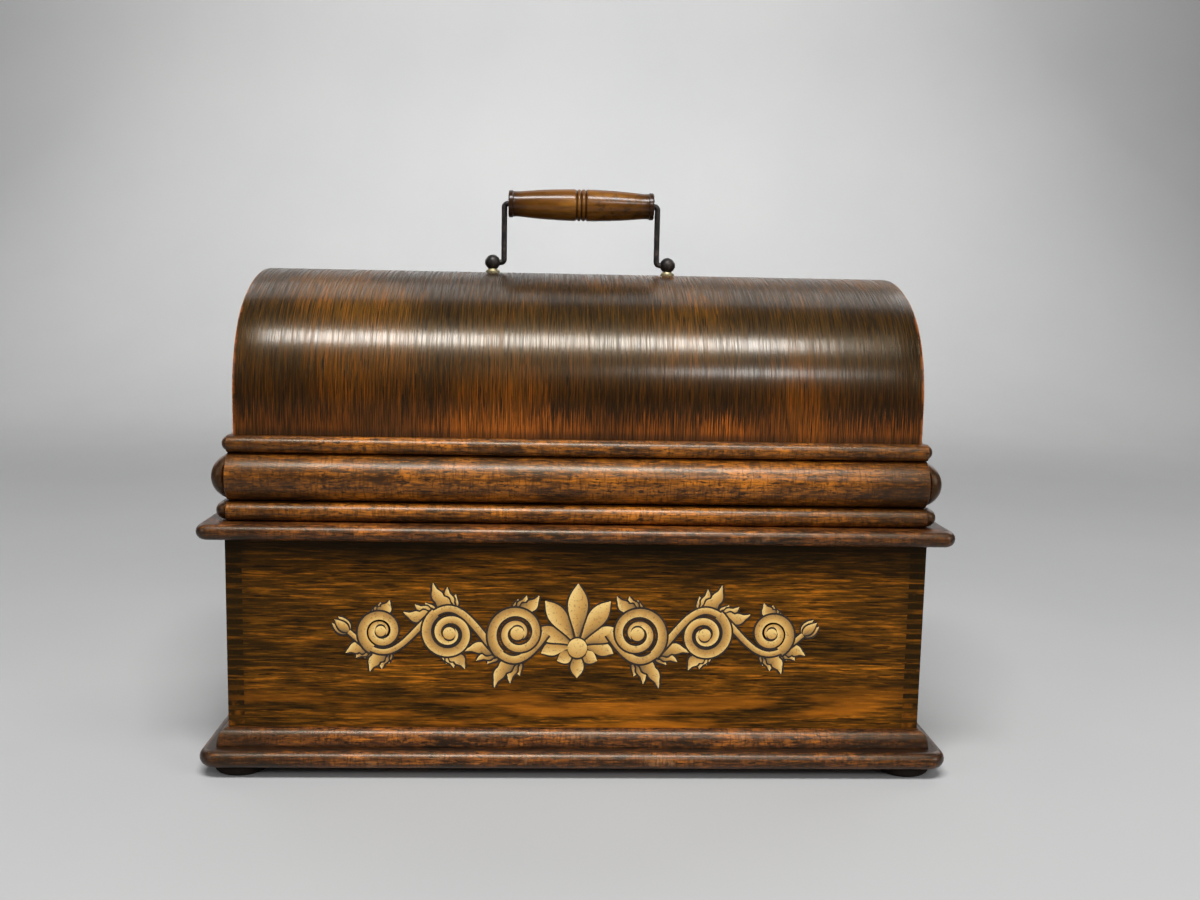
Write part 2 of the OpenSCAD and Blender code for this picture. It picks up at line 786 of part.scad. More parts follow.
// Straight edge on its two posts
module straight_edge() {
    color(nickel) translate([edge_x, edge_y - edge_w / 2, edge_z - edge_h])
        cube([edge_end - edge_x, edge_w, edge_h]);
}

// Mandrel shaft with the feed screw's plain diameter and a centre in its free end
module mandrel_shaft() {
    color(steel) difference() {
        union() {
            rod(shaft_start, shaft_end, mandrel_y, axis_z, shaft_d / 2);
            rod(feed_x, feed_end, mandrel_y, axis_z, feed_d / 2);
        }
        translate([shaft_end - centre_l, mandrel_y, axis_z]) rotate([0, 90, 0])
            cylinder(r1 = 0, r2 = centre_r + clear, h = centre_l + 0.01);
    }
}
centre_r = 2.4;
centre_l = 4;

// Hollow tapered drum on a hub, open at its thin end
module mandrel() {
    big = mandrel_big_d / 2;
    small = mandrel_small_d / 2;
    hub_wall = 5;
    hub = shaft_d / 2 + hub_wall;
    hub_l = mandrel_l - 5;
    web = 8;
    edge = 1;
    bore = shaft_d / 2 + fit;
    color(nickel) translate([mandrel_x, mandrel_y, axis_z]) rotate([0, 90, 0])
        rotate_extrude() polygon([[bore, 0], [big - edge, 0], [big, edge],
            [small, mandrel_l - edge], [small - edge, mandrel_l],
            [small - mandrel_wall, mandrel_l], [big - mandrel_wall, web], [hub, web],
            [hub, hub_l], [bore, hub_l]]);
}

// Belt pulley with low flanges and a dished web
module belt_pulley(r, bore) {
    lip = 1.9;
    rim = 3;
    lip_w = (pulley_w - belt_w) / 2 - belt_off;
    web = pulley_w / 3;
    hub_wall = 4;
    hub = bore + hub_wall;
    rotate_extrude() polygon([[bore, 0], [hub, 0], [hub, web], [r - rim, web], [r - rim, 0],
        [r + lip, 0], [r + lip, lip_w], [r, lip_w], [r, pulley_w - lip_w],
        [r + lip, pulley_w - lip_w], [r + lip, pulley_w], [r - rim, pulley_w],
        [r - rim, 2 * web], [hub, 2 * web], [hub, pulley_w], [bore, pulley_w]]);
}

module mandrel_pulley() {
    color(japan) translate([pulley_x, mandrel_y, axis_z]) rotate([0, 90, 0])
        belt_pulley(mandrel_pulley_r, shaft_d / 2 + fit);
}

module motor_pulley() {
    color(japan) translate([pulley_x, pulley_y, pulley_z]) rotate([0, 90, 0])
        belt_pulley(motor_pulley_r, arbor_r + fit);
}

// Loop round both pulleys, off their belt radii: two arcs joined by their outer tangents
belt_off = 0.3;
belt_steps = 24;
function belt_loop(off) =
    let (span = [mandrel_y - pulley_y, axis_z - pulley_z], line = atan2(span[1], span[0]),
         lean = acos((motor_pulley_r - mandrel_pulley_r) / norm(span)))
    concat(arc([0, 0], motor_pulley_r + off, line + lean, line + 360 - lean, belt_steps),
        arc(span, mandrel_pulley_r + off, line - lean, line + lean, belt_steps));

module drive_belt() {
    color(leather) across(pulley_x + (pulley_w - belt_w) / 2, pulley_y, pulley_z, belt_w)
        difference() {
            polygon(belt_loop(belt_off + belt_t));
            polygon(belt_loop(belt_off));
        }
}

// Gate that swings away from the mandrel's free end, with its cone centre
module end_gate() {
    arm_set = 0.5;
    point_gap = 1.2;
    color(nickel) difference() {
        union() {
            translate([gate_x, gate_pin_y, gate_z])
                cylinder(r = gate_boss_r, h = axis_z + gate_arm_h / 2 - gate_z);
            translate([gate_x - gate_t / 2 + arm_set, mandrel_y, axis_z - gate_arm_h / 2])
                cube([gate_t - 2 * arm_set, gate_arm_l, gate_arm_h]);
            rod(gate_x - gate_t / 2, gate_x + gate_t / 2, mandrel_y, axis_z, gate_boss_r);
            rod(shaft_end + clear, gate_x, mandrel_y, axis_z, centre_r);
            translate([shaft_end - centre_l + point_gap, mandrel_y, axis_z]) rotate([0, 90, 0])
                cylinder(r1 = clear, r2 = centre_r, h = centre_l - point_gap + clear);
        }
        translate([gate_x, gate_pin_y, 0]) cylinder(r = gate_pin_r + fit, h = axis_z + gate_arm_h);
    }
}

module end_gate_pin() {
    head_h = 2.5;
    head_r = gate_pin_r + 2;
    shank = axis_z + gate_arm_h / 2 + clear - bed_z - gate_pin_foot;
    color(steel) translate([gate_x, gate_pin_y, bed_z + gate_pin_foot]) {
        cylinder(r = gate_pin_r, h = shank + head_h);
        translate([0, 0, shank]) cylinder(r = head_r, h = head_h);
    }
}

// Bush that slides along the back rod
module carriage_bush() {
    over = 0.6;
    color(brass) difference() {
        rod(sleeve_x - over, sleeve_x + sleeve_l + over, rod_y, rod_z, bush_r);
        rod(sleeve_x - 1, sleeve_x + sleeve_l + 1, rod_y, rod_z, rod_d / 2 + fit);
    }
}

// Carriage casting: sleeve, lug for the nut spring, arm, eye and the toe over the straight edge
nut_back = 4.5;
nut_top = feed_d / 2 + nut_back;
nut_half = 7;
nut_gap = 0.3;
toe_gap = 0.5;
toe_over = 2;
toe_reach = edge_y - edge_w / 2 - toe_over;
module carriage_arm() {
    lug_y = rod_y - bush_r;
    root = rod_z + bush_r;
    shoulder = axis_z + 5;
    neck_top = rod_y - 12;
    neck_under = rod_y - 20;
    inner = eye_r - 2;
    color(nickel) difference() {
        union() {
            rod(sleeve_x, sleeve_x + sleeve_l, rod_y, rod_z, sleeve_r);
            translate([nut_x - lug_l / 2, lug_y, rod_z])
                cube([lug_l, lug_l, axis_z + nut_top - rod_z]);
            across(eye_x - arm_w / 2, 0, 0, arm_w) polygon([[rod_y + bush_r, root],
                [rod_y + bush_r, shoulder], [neck_top, eye_z + eye_t],
                [mandrel_y + inner, eye_z + eye_t], [mandrel_y + inner, eye_z],
                [neck_under, eye_z], [rod_y - bush_r, shoulder], [rod_y - bush_r, root]]);
            translate([eye_x, mandrel_y, eye_z]) cylinder(r = eye_r, h = eye_t);
            translate([eye_x - toe_w / 2, toe_reach, eye_z])
                cube([toe_w, mandrel_y - inner - toe_reach, eye_t]);
            translate([eye_x - toe_w / 2, toe_reach, edge_z + toe_gap])
                cube([toe_w, edge_w + toe_over, eye_z + toe_gap - edge_z]);
        }
        rod(sleeve_x - 1, sleeve_x + sleeve_l + 1, rod_y, rod_z, bush_r + fit);
        translate([eye_x, mandrel_y, eye_z - 1]) cylinder(d = reproducer_d + 2 * fit, h = eye_t + 2);
        rod(eye_x, eye_x + toe_w, edge_y, lift_z, lift_pin_r + fit);
    }
}

// Flat spring from the sleeve's lug to the half nut
spring_t = 1.2;
module nut_spring() {
    front = mandrel_y - nut_half;
    color(steel) translate([nut_x - nut_w / 2, front, axis_z + nut_top])
        cube([nut_w, rod_y - bush_r + lug_l - front, spring_t]);
}

// Half nut that saddles the feed screw from above
module half_nut() {
    low = feed_d / 4 + clear;
    color(brass) difference() {
        translate([nut_x - nut_w / 2, mandrel_y - nut_half, axis_z + low])
            cube([nut_w, 2 * nut_half, nut_top - low]);
        rod(nut_x - nut_w, nut_x + nut_w, mandrel_y, axis_z, feed_d / 2 + nut_gap);
    }
}

// Lift lever on the side of the toe: round heel, pin and a short thumb piece
lift_pin_r = 2;
heel_r = 4.5;
lift_t = 5;
lift_z = edge_z + heel_r + 1;
module lift_lever() {
    x = eye_x + toe_w / 2 + clear;
    thumb = 14;
    thumb_r = 3;
    stem = 4;
    lean = 150;
    color(nickel) {
        rod(eye_x + toe_gap, x + lift_t, edge_y, lift_z, lift_pin_r);
        rod(x, x + lift_t, edge_y, lift_z, heel_r);
        across(x, edge_y, lift_z, lift_t) rotate(lean) {
            translate([0, -stem / 2]) square([thumb, stem]);
            translate([thumb, 0]) circle(thumb_r);
        }
    }
}

// Reproducer: turned body with a lip that sits on the eye, a hollow horn nipple and, below,
// two lugs for the weight's hinge
lip_h = 3;
lip_out = 2;
body_drop = 2;
chamber_h = 3.5;
throat_r = 4.5;
dome_h = 4;
lug_x = 7;
lug_t = 3;
lug_half = 1.8;
chamber_wall = 2;
hinge_in = 2.4;
hinge_y = mandrel_y + reproducer_d / 2 - hinge_in;
hinge_drop = 2.6;
hinge_r = 0.9;
weight_gap = 1.8;
weight_t = 3.4;
nipple_z = eye_z + eye_t + lip_h + dome_h;
module reproducer_body() {
    r = reproducer_d / 2;
    color(brass) difference() {
        union() {
            translate([eye_x, mandrel_y, eye_z - body_drop]) cylinder(r = r, h = body_drop + eye_t);
            translate([eye_x, mandrel_y, eye_z + eye_t]) cylinder(r = r + lip_out, h = lip_h);
            translate([eye_x, mandrel_y, eye_z + eye_t + lip_h])
                cylinder(r1 = r - 1, r2 = nipple_d / 2, h = dome_h);
            translate([eye_x, mandrel_y, nipple_z]) cylinder(d = nipple_d, h = nipple_l);
            for (s = [-1, 1])
                translate([eye_x + s * lug_x - lug_t / 2, hinge_y - lug_half,
                        eye_z - body_drop - hinge_drop - lug_half])
                    cube([lug_t, 2 * lug_half, hinge_drop + lug_half]);
        }
        translate([eye_x, mandrel_y, eye_z - body_drop - 0.01])
            cylinder(r = r - chamber_wall, h = chamber_h + 0.01);
        translate([eye_x, mandrel_y, eye_z]) cylinder(r = throat_r, h = nipple_z + nipple_l - eye_z + 1);
        rod(eye_x - 2 * lug_x, eye_x + 2 * lug_x, hinge_y, eye_z - body_drop - hinge_drop,
            hinge_r + fit);
    }
}

module diaphragm() {
    t = 0.5;
    color(steel) translate([eye_x, mandrel_y, eye_z - body_drop + chamber_h - t])
        cylinder(r = reproducer_d / 2 - chamber_wall - fit, h = t);
}

// Hinged weight plate with its pin
module reproducer_weight() {
    top = eye_z - body_drop - weight_gap;
    barrel_half = lug_x - lug_t / 2 - clear;
    barrel_r = 1.7;
    weight_in = 2.6;
    color(brass) {
        difference() {
            translate([eye_x, mandrel_y, top - weight_t])
                cylinder(r = reproducer_d / 2 - weight_in, h = weight_t);
            for (s = [-1, 1])
                translate([eye_x + s * lug_x - lug_t / 2 - clear, hinge_y - lug_half - clear,
                        top - weight_t - 1])
                    cube([lug_t + 2 * clear, reproducer_d / 2, weight_t + 2]);
        }
        rod(eye_x - barrel_half, eye_x + barrel_half, hinge_y, eye_z - body_drop - hinge_drop,
            barrel_r);
        rod(eye_x - lug_x - lug_t / 2, eye_x + lug_x + lug_t / 2, hinge_y,
            eye_z - body_drop - hinge_drop, hinge_r);
    }
}

// Stylus bar under the weight with its point
module stylus_bar() {
    top = eye_z - body_drop - weight_gap - weight_t;
    bar_l = 16;
    bar_w = 3;
    bar_t = 1.2;
    point_h = 1.2;
    point_r = 0.4;
    color(steel) {
        translate([eye_x - bar_w / 2, mandrel_y - bar_l / 2, top - bar_t])
            cube([bar_w, bar_l, bar_t]);
        translate([eye_x, mandrel_y, top - bar_t - point_h])
            cylinder(r1 = point_r, r2 = 3 * point_r, h = point_h);
    }
}

// Thumb screw that holds the reproducer in the eye
module clamp_screw() {
    head_r = 5;
    head_l = 5;
    neck_r = 2.2;
    neck_end = eye_x + eye_r + 3;
    color(brass) {
        rod(eye_x + eye_r, neck_end, mandrel_y, eye_z + eye_t / 2, neck_r);
        rod(neck_end, neck_end + head_l, mandrel_y, eye_z + eye_t / 2, head_r);
    }
}

// Start and stop lever on a stud: thumb arm to the front, brake arm to the pulley's face
brake_front = 15;
brake_gap = 6;
brake_low = 16;
thumb_reach = [-8, -22];
module lever_arm(reach, w, t) {
    rotate(atan2(reach[1], reach[0])) translate([0, -w / 2, 0]) cube([norm(reach), w, t]);
}

module start_stop_lever() {
    t = 3;
    w = 6;
    boss_wall = 3;
    thumb_r = 4;
    thumb_h = 10;
    pad_h = 8;
    brake_x = pulley_x - brake_gap;
    brake_y = mandrel_y - brake_front;
    brake = [brake_x - start_x, brake_y - start_y];
    pad_z = axis_z - brake_low - pad_h / 2;
    z = bed_z + clear;
    color(nickel) {
        translate([start_x, start_y, z]) difference() {
            union() {
                cylinder(r = start_stud_r + boss_wall, h = t);
                lever_arm(brake, w, t);
                lever_arm(thumb_reach, w, t);
                translate(thumb_reach) cylinder(r = thumb_r, h = thumb_h);
                translate(brake) cylinder(d = w, h = pad_z + pad_h - z);
            }
            translate([0, 0, -1]) cylinder(r = start_stud_r + fit, h = t + 2);
        }
        translate([brake_x, brake_y - w / 2, pad_z])
            cube([pulley_x - clear - brake_x, w, pad_h]);
    }
}

// Speed screw through the bedplate, and the friction lever that it presses on the governor disc
speed_up = 24;
speed_low = governor_z + speed_up;
speed_gap = 0.3;
module speed_screw() {
    head_r = 7;
    head_h = 6;
    crown_r = 4;
    crown_h = 2;
    tip = speed_low + speed_gap;
    under = bed_z + clear;
    color(brass) translate([speed_x, speed_y, 0]) {
        translate([0, 0, tip]) cylinder(r = speed_r, h = under - tip);
        translate([0, 0, under]) cylinder(r = head_r, h = head_h);
        translate([0, 0, under + head_h]) cylinder(r1 = head_r, r2 = crown_r, h = crown_h);
    }
}

module speed_lever() {
    w = 8;
    t = 3;
    over = 6;
    pad_x = governor_disc_x + governor_disc_t + clear;
    pad_z = governor_z + 2 * governor_shaft_r;
    color(steel) {
        translate([speed_x - over, speed_y - w / 2, speed_low - t])
            cube([right_plate_x - speed_x + over, w, t]);
        translate([pad_x, speed_y - w / 2, pad_z]) cube([t, w, speed_low - pad_z - t]);
    }
}

// Motor plate outline with lightening windows, and the bores of every arbor
plate_bottom = bed_under - plate_low;
plate_top = bed_under - plate_top_drop;
pillar_r = 4;
pillar_in = 9;
pillar_spots = [[plate_front + pillar_in, plate_bottom + pillar_in],
    [plate_back - pillar_in, plate_bottom + pillar_in],
    [plate_front + pillar_in, plate_top - pillar_in],
    [plate_back - pillar_in, plate_top - pillar_in]];
pawl_dir = 45;
pawl_span = 30;
pawl_rise = 2;
pawl_y = barrel_y + pawl_span * cos(pawl_dir);
pawl_z = barrel_z + pawl_span * sin(pawl_dir) + pawl_rise;
pawl_pin_r = 2;
module motor_plate_outline(extra) {
    difference() {
        translate([(plate_front + plate_back) / 2, (plate_bottom + plate_top) / 2])
            round_rect(plate_back - plate_front, plate_top - plate_bottom, plate_corner_r);
        translate([barrel_y, barrel_z]) circle(barrel_arbor_d / 2 + fit);
        for (p = [[first_y, first_z], [pulley_y, pulley_z]]) translate(p) circle(arbor_r + fit);
        translate([governor_y, governor_z]) circle(governor_shaft_r + fit);
        for (p = pillar_spots) translate(p) circle(pillar_r / 2 + fit);
        if (extra) translate([winding_y, winding_z]) circle(winding_d / 2 + fit);
    }
}

// Side plates of the motor with feet for the hangers; the right one carries the pawl's stud
hanger_in = 20;
hanger_y = [plate_front + hanger_in, plate_back - hanger_in];
hanger_r = 5;
foot_l = 14;
foot_w = 16;
foot_t = 4;
module motor_plates() {
    color(iron) {
        across(left_plate_x, 0, 0, plate_t) motor_plate_outline(false);
        across(right_plate_x, 0, 0, plate_t) motor_plate_outline(true);
        for (y = hanger_y) {
            translate([plate_in - foot_l, y - foot_w / 2, plate_top - foot_t])
                cube([foot_l, foot_w, foot_t]);
            translate([right_plate_x, y - foot_w / 2, plate_top - foot_t])
                cube([foot_l, foot_w, foot_t]);
        }
        rod(right_plate_x, ratchet_x + ratchet_t, pawl_y, pawl_z, pawl_pin_r);
        rod(right_plate_x, ratchet_x - clear, pawl_y, pawl_z, 2 * pawl_pin_r);
    }
}

// Spacing pillars with reduced ends in the plates
module motor_pillars() {
    color(steel) for (p = pillar_spots) {
        rod(plate_in, right_plate_x, p[0], p[1], pillar_r);
        rod(left_plate_x, right_plate_end, p[0], p[1], pillar_r / 2);
    }
}

// Posts that hang the motor from the bedplate
module motor_hangers() {
    color(iron) for (x = [plate_in - foot_l / 2, right_plate_x + foot_l / 2], y = hanger_y)
        translate([x, y, plate_top]) cylinder(r = hanger_r, h = plate_top_drop);
}

// Spring barrel: gear plate, drum wall and a clear hole for the arbor
module spring_barrel() {
    r = barrel_d / 2;
    color(brass) {
        difference() {
            across(barrel_gear_x, barrel_y, barrel_z, barrel_gear_t)
                gear_outline(barrel_teeth, barrel_mod, first_dir);
            rod(barrel_gear_x - 1, drum_x + 1, barrel_y, barrel_z, barrel_arbor_d / 2 + fit);
        }
        difference() {
            rod(drum_x, drum_end, barrel_y, barrel_z, r);
            rod(drum_x - 1, drum_end + 1, barrel_y, barrel_z, r - barrel_wall);
        }
    }
}

module barrel_cover() {
    color(brass) difference() {
        rod(drum_end - cover_t, drum_end, barrel_y, barrel_z, barrel_d / 2 - barrel_wall - fit);
        rod(drum_end - cover_t - 1, drum_end + 1, barrel_y, barrel_z, barrel_arbor_d / 2 + fit);
    }
}

// Mainspring: flat strip wound from the arbor's core out to the drum
core_wall = 6;
core_r = barrel_arbor_d / 2 + core_wall;
strip_t = 1.1;
strip_gap = 0.3;
coil_turns = 6;
coil_steps = 24;
function coil(off) = [for (k = [0 : coil_turns * coil_steps])
    let (r0 = core_r + strip_gap, r1 = barrel_d / 2 - barrel_wall - strip_t - strip_gap,
         r = r0 + off + (r1 - r0) * k / (coil_turns * coil_steps), a = k * 360 / coil_steps)
    [r * cos(a), r * sin(a)]];
module mainspring() {
    color(steel) across(drum_x + 1, barrel_y, barrel_z, drum_end - cover_t - drum_x - 2)
        polygon(concat(coil(0), reversed(coil(strip_t))));
}

module barrel_arbor() {
    color(steel) {
        rod(left_plate_x, ratchet_x + ratchet_t + shaft_over, barrel_y, barrel_z, barrel_arbor_d / 2);
        rod(drum_x + clear, drum_end - cover_t - clear, barrel_y, barrel_z, core_r);
    }
}

module winding_gear() {
    color(brass) difference() {
        across(winding_gear_x, barrel_y, barrel_z, winding_gear_t)
            gear_outline(winding_teeth, winding_mod, winding_dir);
        rod(winding_gear_x - 1, ratchet_x + 1, barrel_y, barrel_z, barrel_arbor_d / 2 + fit);
    }
}

// Ratchet with saw teeth
module ratchet_wheel() {
    step = 360 / ratchet_teeth;
    low = ratchet_r - ratchet_depth;
    color(steel) difference() {
        across(ratchet_x, barrel_y, barrel_z, ratchet_t)
            polygon([for (k = [0 : ratchet_teeth - 1], e = [0, 1])
                let (r = e == 0 ? ratchet_r : low)
                r * [cos(k * step + e), sin(k * step + e)]]);
        rod(ratchet_x - 1, ratchet_x + ratchet_t + 1, barrel_y, barrel_z, barrel_arbor_d / 2 + fit);
    }
}

// Pawl held just clear of the ratchet's tips
module ratchet_pawl() {
    tip_r = ratchet_r + clear;
    tip_dir = 85;
    root = 1.7 * pawl_pin_r;
    tip = [barrel_y + tip_r * cos(tip_dir), barrel_z + tip_r * sin(tip_dir)];
    color(steel) difference() {
        across(ratchet_x, 0, 0, ratchet_t) {
            translate([pawl_y, pawl_z]) circle(2 * pawl_pin_r);
            polygon([tip, [pawl_y, pawl_z - root], [pawl_y, pawl_z + root],
                tip + [1, 2 * pawl_pin_r]]);
        }
        rod(ratchet_x - 1, ratchet_x + ratchet_t + 1, pawl_y, pawl_z, pawl_pin_r + fit);
    }
}

// Winding shaft with its pinion, from the right motor plate out through the case
module winding_shaft() {
    color(steel) {
        rod(right_plate_x, case_side + escutcheon_t, winding_y, winding_z, winding_d / 2);
        rod(case_side, case_side + winding_out, winding_y, winding_z, crank_end_d / 2);
        across(winding_gear_x - 1, winding_y, winding_z, winding_gear_t + 2)
            gear_outline(winding_pinion_teeth, winding_mod,
                mesh_phase(winding_dir, winding_pinion_teeth));
    }
}

module first_arbor() {
    color(steel) {
        rod(left_plate_x, right_plate_end, first_y, first_z, arbor_r);
        across(barrel_gear_x - pinion_over, first_y, first_z, barrel_gear_t + 2 * pinion_over)
            gear_outline(first_pinion_teeth, barrel_mod,
                mesh_phase(first_dir, first_pinion_teeth));
    }
}

// Train wheel with a rim, a hub and round windows
module train_wheel(x, y, z, teeth, mod, phase) {
    r = teeth * mod / 2;
    windows = 5;
    middle = (arbor_r + r) / 2;
    color(brass) difference() {
        across(x, y, z, gear_t) gear_outline(teeth, mod, phase);
        rod(x - 1, x + gear_t + 1, y, z, arbor_r + fit);
        for (k = [0 : windows - 1])
            rod(x - 1, x + gear_t + 1, y + middle * cos(k * 360 / windows),
                z + middle * sin(k * 360 / windows), r / 4);
    }
}

module second_wheel() {
    train_wheel(second_x, first_y, first_z, second_teeth, second_mod, second_dir);
}

module pulley_shaft() {
    color(steel) {
        rod(shaft_start, right_plate_end, pulley_y, pulley_z, arbor_r);
        across(second_x - pinion_over, pulley_y, pulley_z, gear_t + 2 * pinion_over)
            gear_outline(second_pinion_teeth, second_mod,
                mesh_phase(second_dir, second_pinion_teeth));
    }
}

module third_wheel() {
    train_wheel(third_x, pulley_y, pulley_z, third_teeth, third_mod, third_dir);
}

// Governor: shaft with pinion, two hubs, friction disc, three leaf springs and their weights
module governor() {
    hub_l = 6;
    leaf_w = 5;
    leaf_t = 0.6;
    weight_r = 6;
    weight_sink = 1;
    mid = (governor_hub_x + governor_disc_x) / 2;
    color(brass) {
        rod(left_plate_x, right_plate_end, governor_y, governor_z, governor_shaft_r);
        across(third_x - pinion_over, governor_y, governor_z, gear_t + 2 * pinion_over)
            gear_outline(governor_teeth, third_mod, mesh_phase(third_dir, governor_teeth));
        rod(governor_hub_x, governor_hub_x + hub_l, governor_y, governor_z, hub_r);
        rod(governor_disc_x - hub_l, governor_disc_x, governor_y, governor_z, hub_r);
        rod(governor_disc_x, governor_disc_x + governor_disc_t, governor_y, governor_z,
            governor_disc_r);
        for (k = [0, 1, 2]) translate([0, governor_y, governor_z]) rotate([k * 120, 0, 0]) {
            translate([governor_hub_x, -leaf_w / 2, hub_r - leaf_t])
                cube([governor_disc_x - governor_hub_x, leaf_w, 2 * leaf_t]);
            translate([mid, 0, hub_r + weight_r - weight_sink]) sphere(weight_r);
        }
    }
}

long_panels();
end_panels();
bottom_board();
plinth_long_mouldings();
plinth_end_mouldings();
rim_long_boards();
rim_end_boards();
feet();
bed_rails();
crank_escutcheon();
lid_dome();
lid_ends();
lid_rails();
lid_long_mouldings();
lid_end_mouldings();
handle_posts();
handle_collars();
handle_bail();
handle_grip();
bedplate();
bearing_caps();
bed_screws();
back_rod();
straight_edge();
mandrel_shaft();
mandrel();
mandrel_pulley();
drive_belt();
end_gate();
end_gate_pin();
carriage_bush();
carriage_arm();
nut_spring();
half_nut();
lift_lever();
reproducer_body();
diaphragm();
reproducer_weight();
stylus_bar();
clamp_screw();
start_stop_lever();
speed_screw();
speed_lever();
motor_plates();
motor_pillars();
motor_hangers();
spring_barrel();
barrel_cover();
mainspring();
barrel_arbor();
winding_gear();
ratchet_wheel();
ratchet_pawl();
winding_shaft();
first_arbor();
second_wheel();
pulley_shaft();
third_wheel();
motor_pulley();
governor();
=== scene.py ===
"""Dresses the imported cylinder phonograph: oak case, bent-veneer lid, bail handle and works."""

import math

import bmesh
import bpy
import numpy as np
from mathutils import Matrix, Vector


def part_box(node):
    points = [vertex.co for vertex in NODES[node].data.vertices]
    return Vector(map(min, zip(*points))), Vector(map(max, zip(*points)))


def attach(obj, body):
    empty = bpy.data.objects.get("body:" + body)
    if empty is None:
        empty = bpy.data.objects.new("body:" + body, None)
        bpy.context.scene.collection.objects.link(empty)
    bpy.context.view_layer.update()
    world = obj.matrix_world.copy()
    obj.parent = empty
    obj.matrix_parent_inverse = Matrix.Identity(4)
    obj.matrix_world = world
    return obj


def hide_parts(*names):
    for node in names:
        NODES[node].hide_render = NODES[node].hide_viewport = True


bl_info = {
    "name": "Cylinder phonograph",
    "version": (1, 0, 0),
    "blender": (4, 5, 0),
    "location": "View3D > Sidebar > Phonograph",
    "description": "Dresses a closed oak-cased cylinder phonograph and its works",
    "category": "Object",
}

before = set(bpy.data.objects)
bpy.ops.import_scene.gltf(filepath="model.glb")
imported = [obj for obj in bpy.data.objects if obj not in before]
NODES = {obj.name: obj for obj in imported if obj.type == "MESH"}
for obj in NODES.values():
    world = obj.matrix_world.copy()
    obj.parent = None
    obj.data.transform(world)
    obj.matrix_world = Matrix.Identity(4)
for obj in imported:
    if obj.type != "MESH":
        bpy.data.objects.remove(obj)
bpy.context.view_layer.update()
TAU = 2.0 * math.pi
SIDES = {"X": ("front", "back"), "Y": ("left", "right")}

# Warm tint of the sheen of old shellac
SHELLAC = (1.0, 0.75, 0.42, 1.0)

# Camera: yaw, pitch and roll in radians, its place in metres, lens and sensor in millimetres
CAMERA_TURN = (0.0427, -0.1312, 0.0192)
CAMERA_PLACE = (-0.01825, -0.76803, 0.2741)
CAMERA_LENS = 36.415
SENSOR_W = 36.0

# Lamps: place, the point they look at, size, watts and spread in degrees
LAMPS = {
    "key": ((-0.04, -0.85, 1.6), (0.0, -0.05, 0.22), (1.0, 0.33), 45.0, 180.0),
    "second": ((0.43, -1.9, 1.25), (0.0, -0.05, 0.25), (0.34, 0.2), 8.0, 180.0),
    "left": ((-2.1, -1.5, 1.1), (0.0, 0.0, 0.12), (1.0, 1.0), 11.0, 180.0),
    "right": ((2.1, -1.5, 1.1), (0.0, 0.0, 0.12), (1.0, 1.0), 21.0, 180.0),
    "back right": ((1.6, 1.5, 1.5), (0.0, 0.0, 0.2), (1.2, 1.2), 12.0, 180.0),
    "back left": ((-1.6, 1.5, 1.3), (0.0, 0.0, 0.2), (1.2, 1.2), 9.0, 180.0),
    "ceiling": ((0.0, 1.35, 2.1), (0.0, 0.0, 0.25), (2.6, 1.0), 9.0, 180.0),
    "wall": ((0.0, 0.75, 2.1), (0.0, 2.4, 0.6), (2.4, 0.5), 21.0, 80.0),
}
SKY = (0.80, 0.81, 0.83, 1.0)
SKY_STRENGTH = 0.14
PAPER = ((0.305, 0.305, 0.31), (0.34, 0.34, 0.335))

# Rounds at the ends of the lid's mouldings, as shares of their projection
FRONT_EASE = 0.06
RETURN_EASE = 0.62

# Dirt and painted shade in the lid mouldings' quirks end, and wear begins, at these shares of their
# projection
LID_QUIRK = 0.62
LID_NOSE = 0.90

# Plinth and rim: depth of a worn nose, reach of the dirt and painted shade on the ledge, place
# and width of the pale band on the upper round, which is wear and painted highlight together
NOSE_WEAR = 0.0025
LEDGE_DIRT_AND_SHADE = 0.0016
CROWN_SHARE = 0.72
CROWN_W = 0.002

# Scroll on the front: its middle, how far gilt, outline and each tier stand off, and its depth
SCROLL_MIDDLE = np.array([-0.0005, 0.0815])
GILT_LIFT = 0.00008
OUTLINE_LIFT = 0.00006
TIER_LIFT = 0.00004
SCROLL_SINK = 0.0003

# Radius that closes a turned piece on its axis, and the depths of thread and knurl
POLE_R = 0.0003
THREAD_DEPTH = 0.00045
KNURL_DEPTH = 0.0005


def srgb(red, green, blue):
    """Linear colour of an 8-bit screen colour."""
    screen = np.array([red, green, blue]) / 255.0
    linear = np.where(screen <= 0.04045, screen / 12.92, ((screen + 0.055) / 1.055) ** 2.4)
    return tuple(float(c) for c in linear)


def share_of(tone, share):
    """A colour at a share of its brightness."""
    return tuple(share * c for c in tone)


def length(label, text, default):
    """A length property in metres."""
    return bpy.props.FloatProperty(name=label, description=text, default=default, unit="LENGTH")


def colour(label, text, default):
    """A colour property, given as a screen colour."""
    return bpy.props.FloatVectorProperty(
        name=label, description=text, subtype="COLOR", size=3, min=0.0, max=1.0,
        default=srgb(*default))


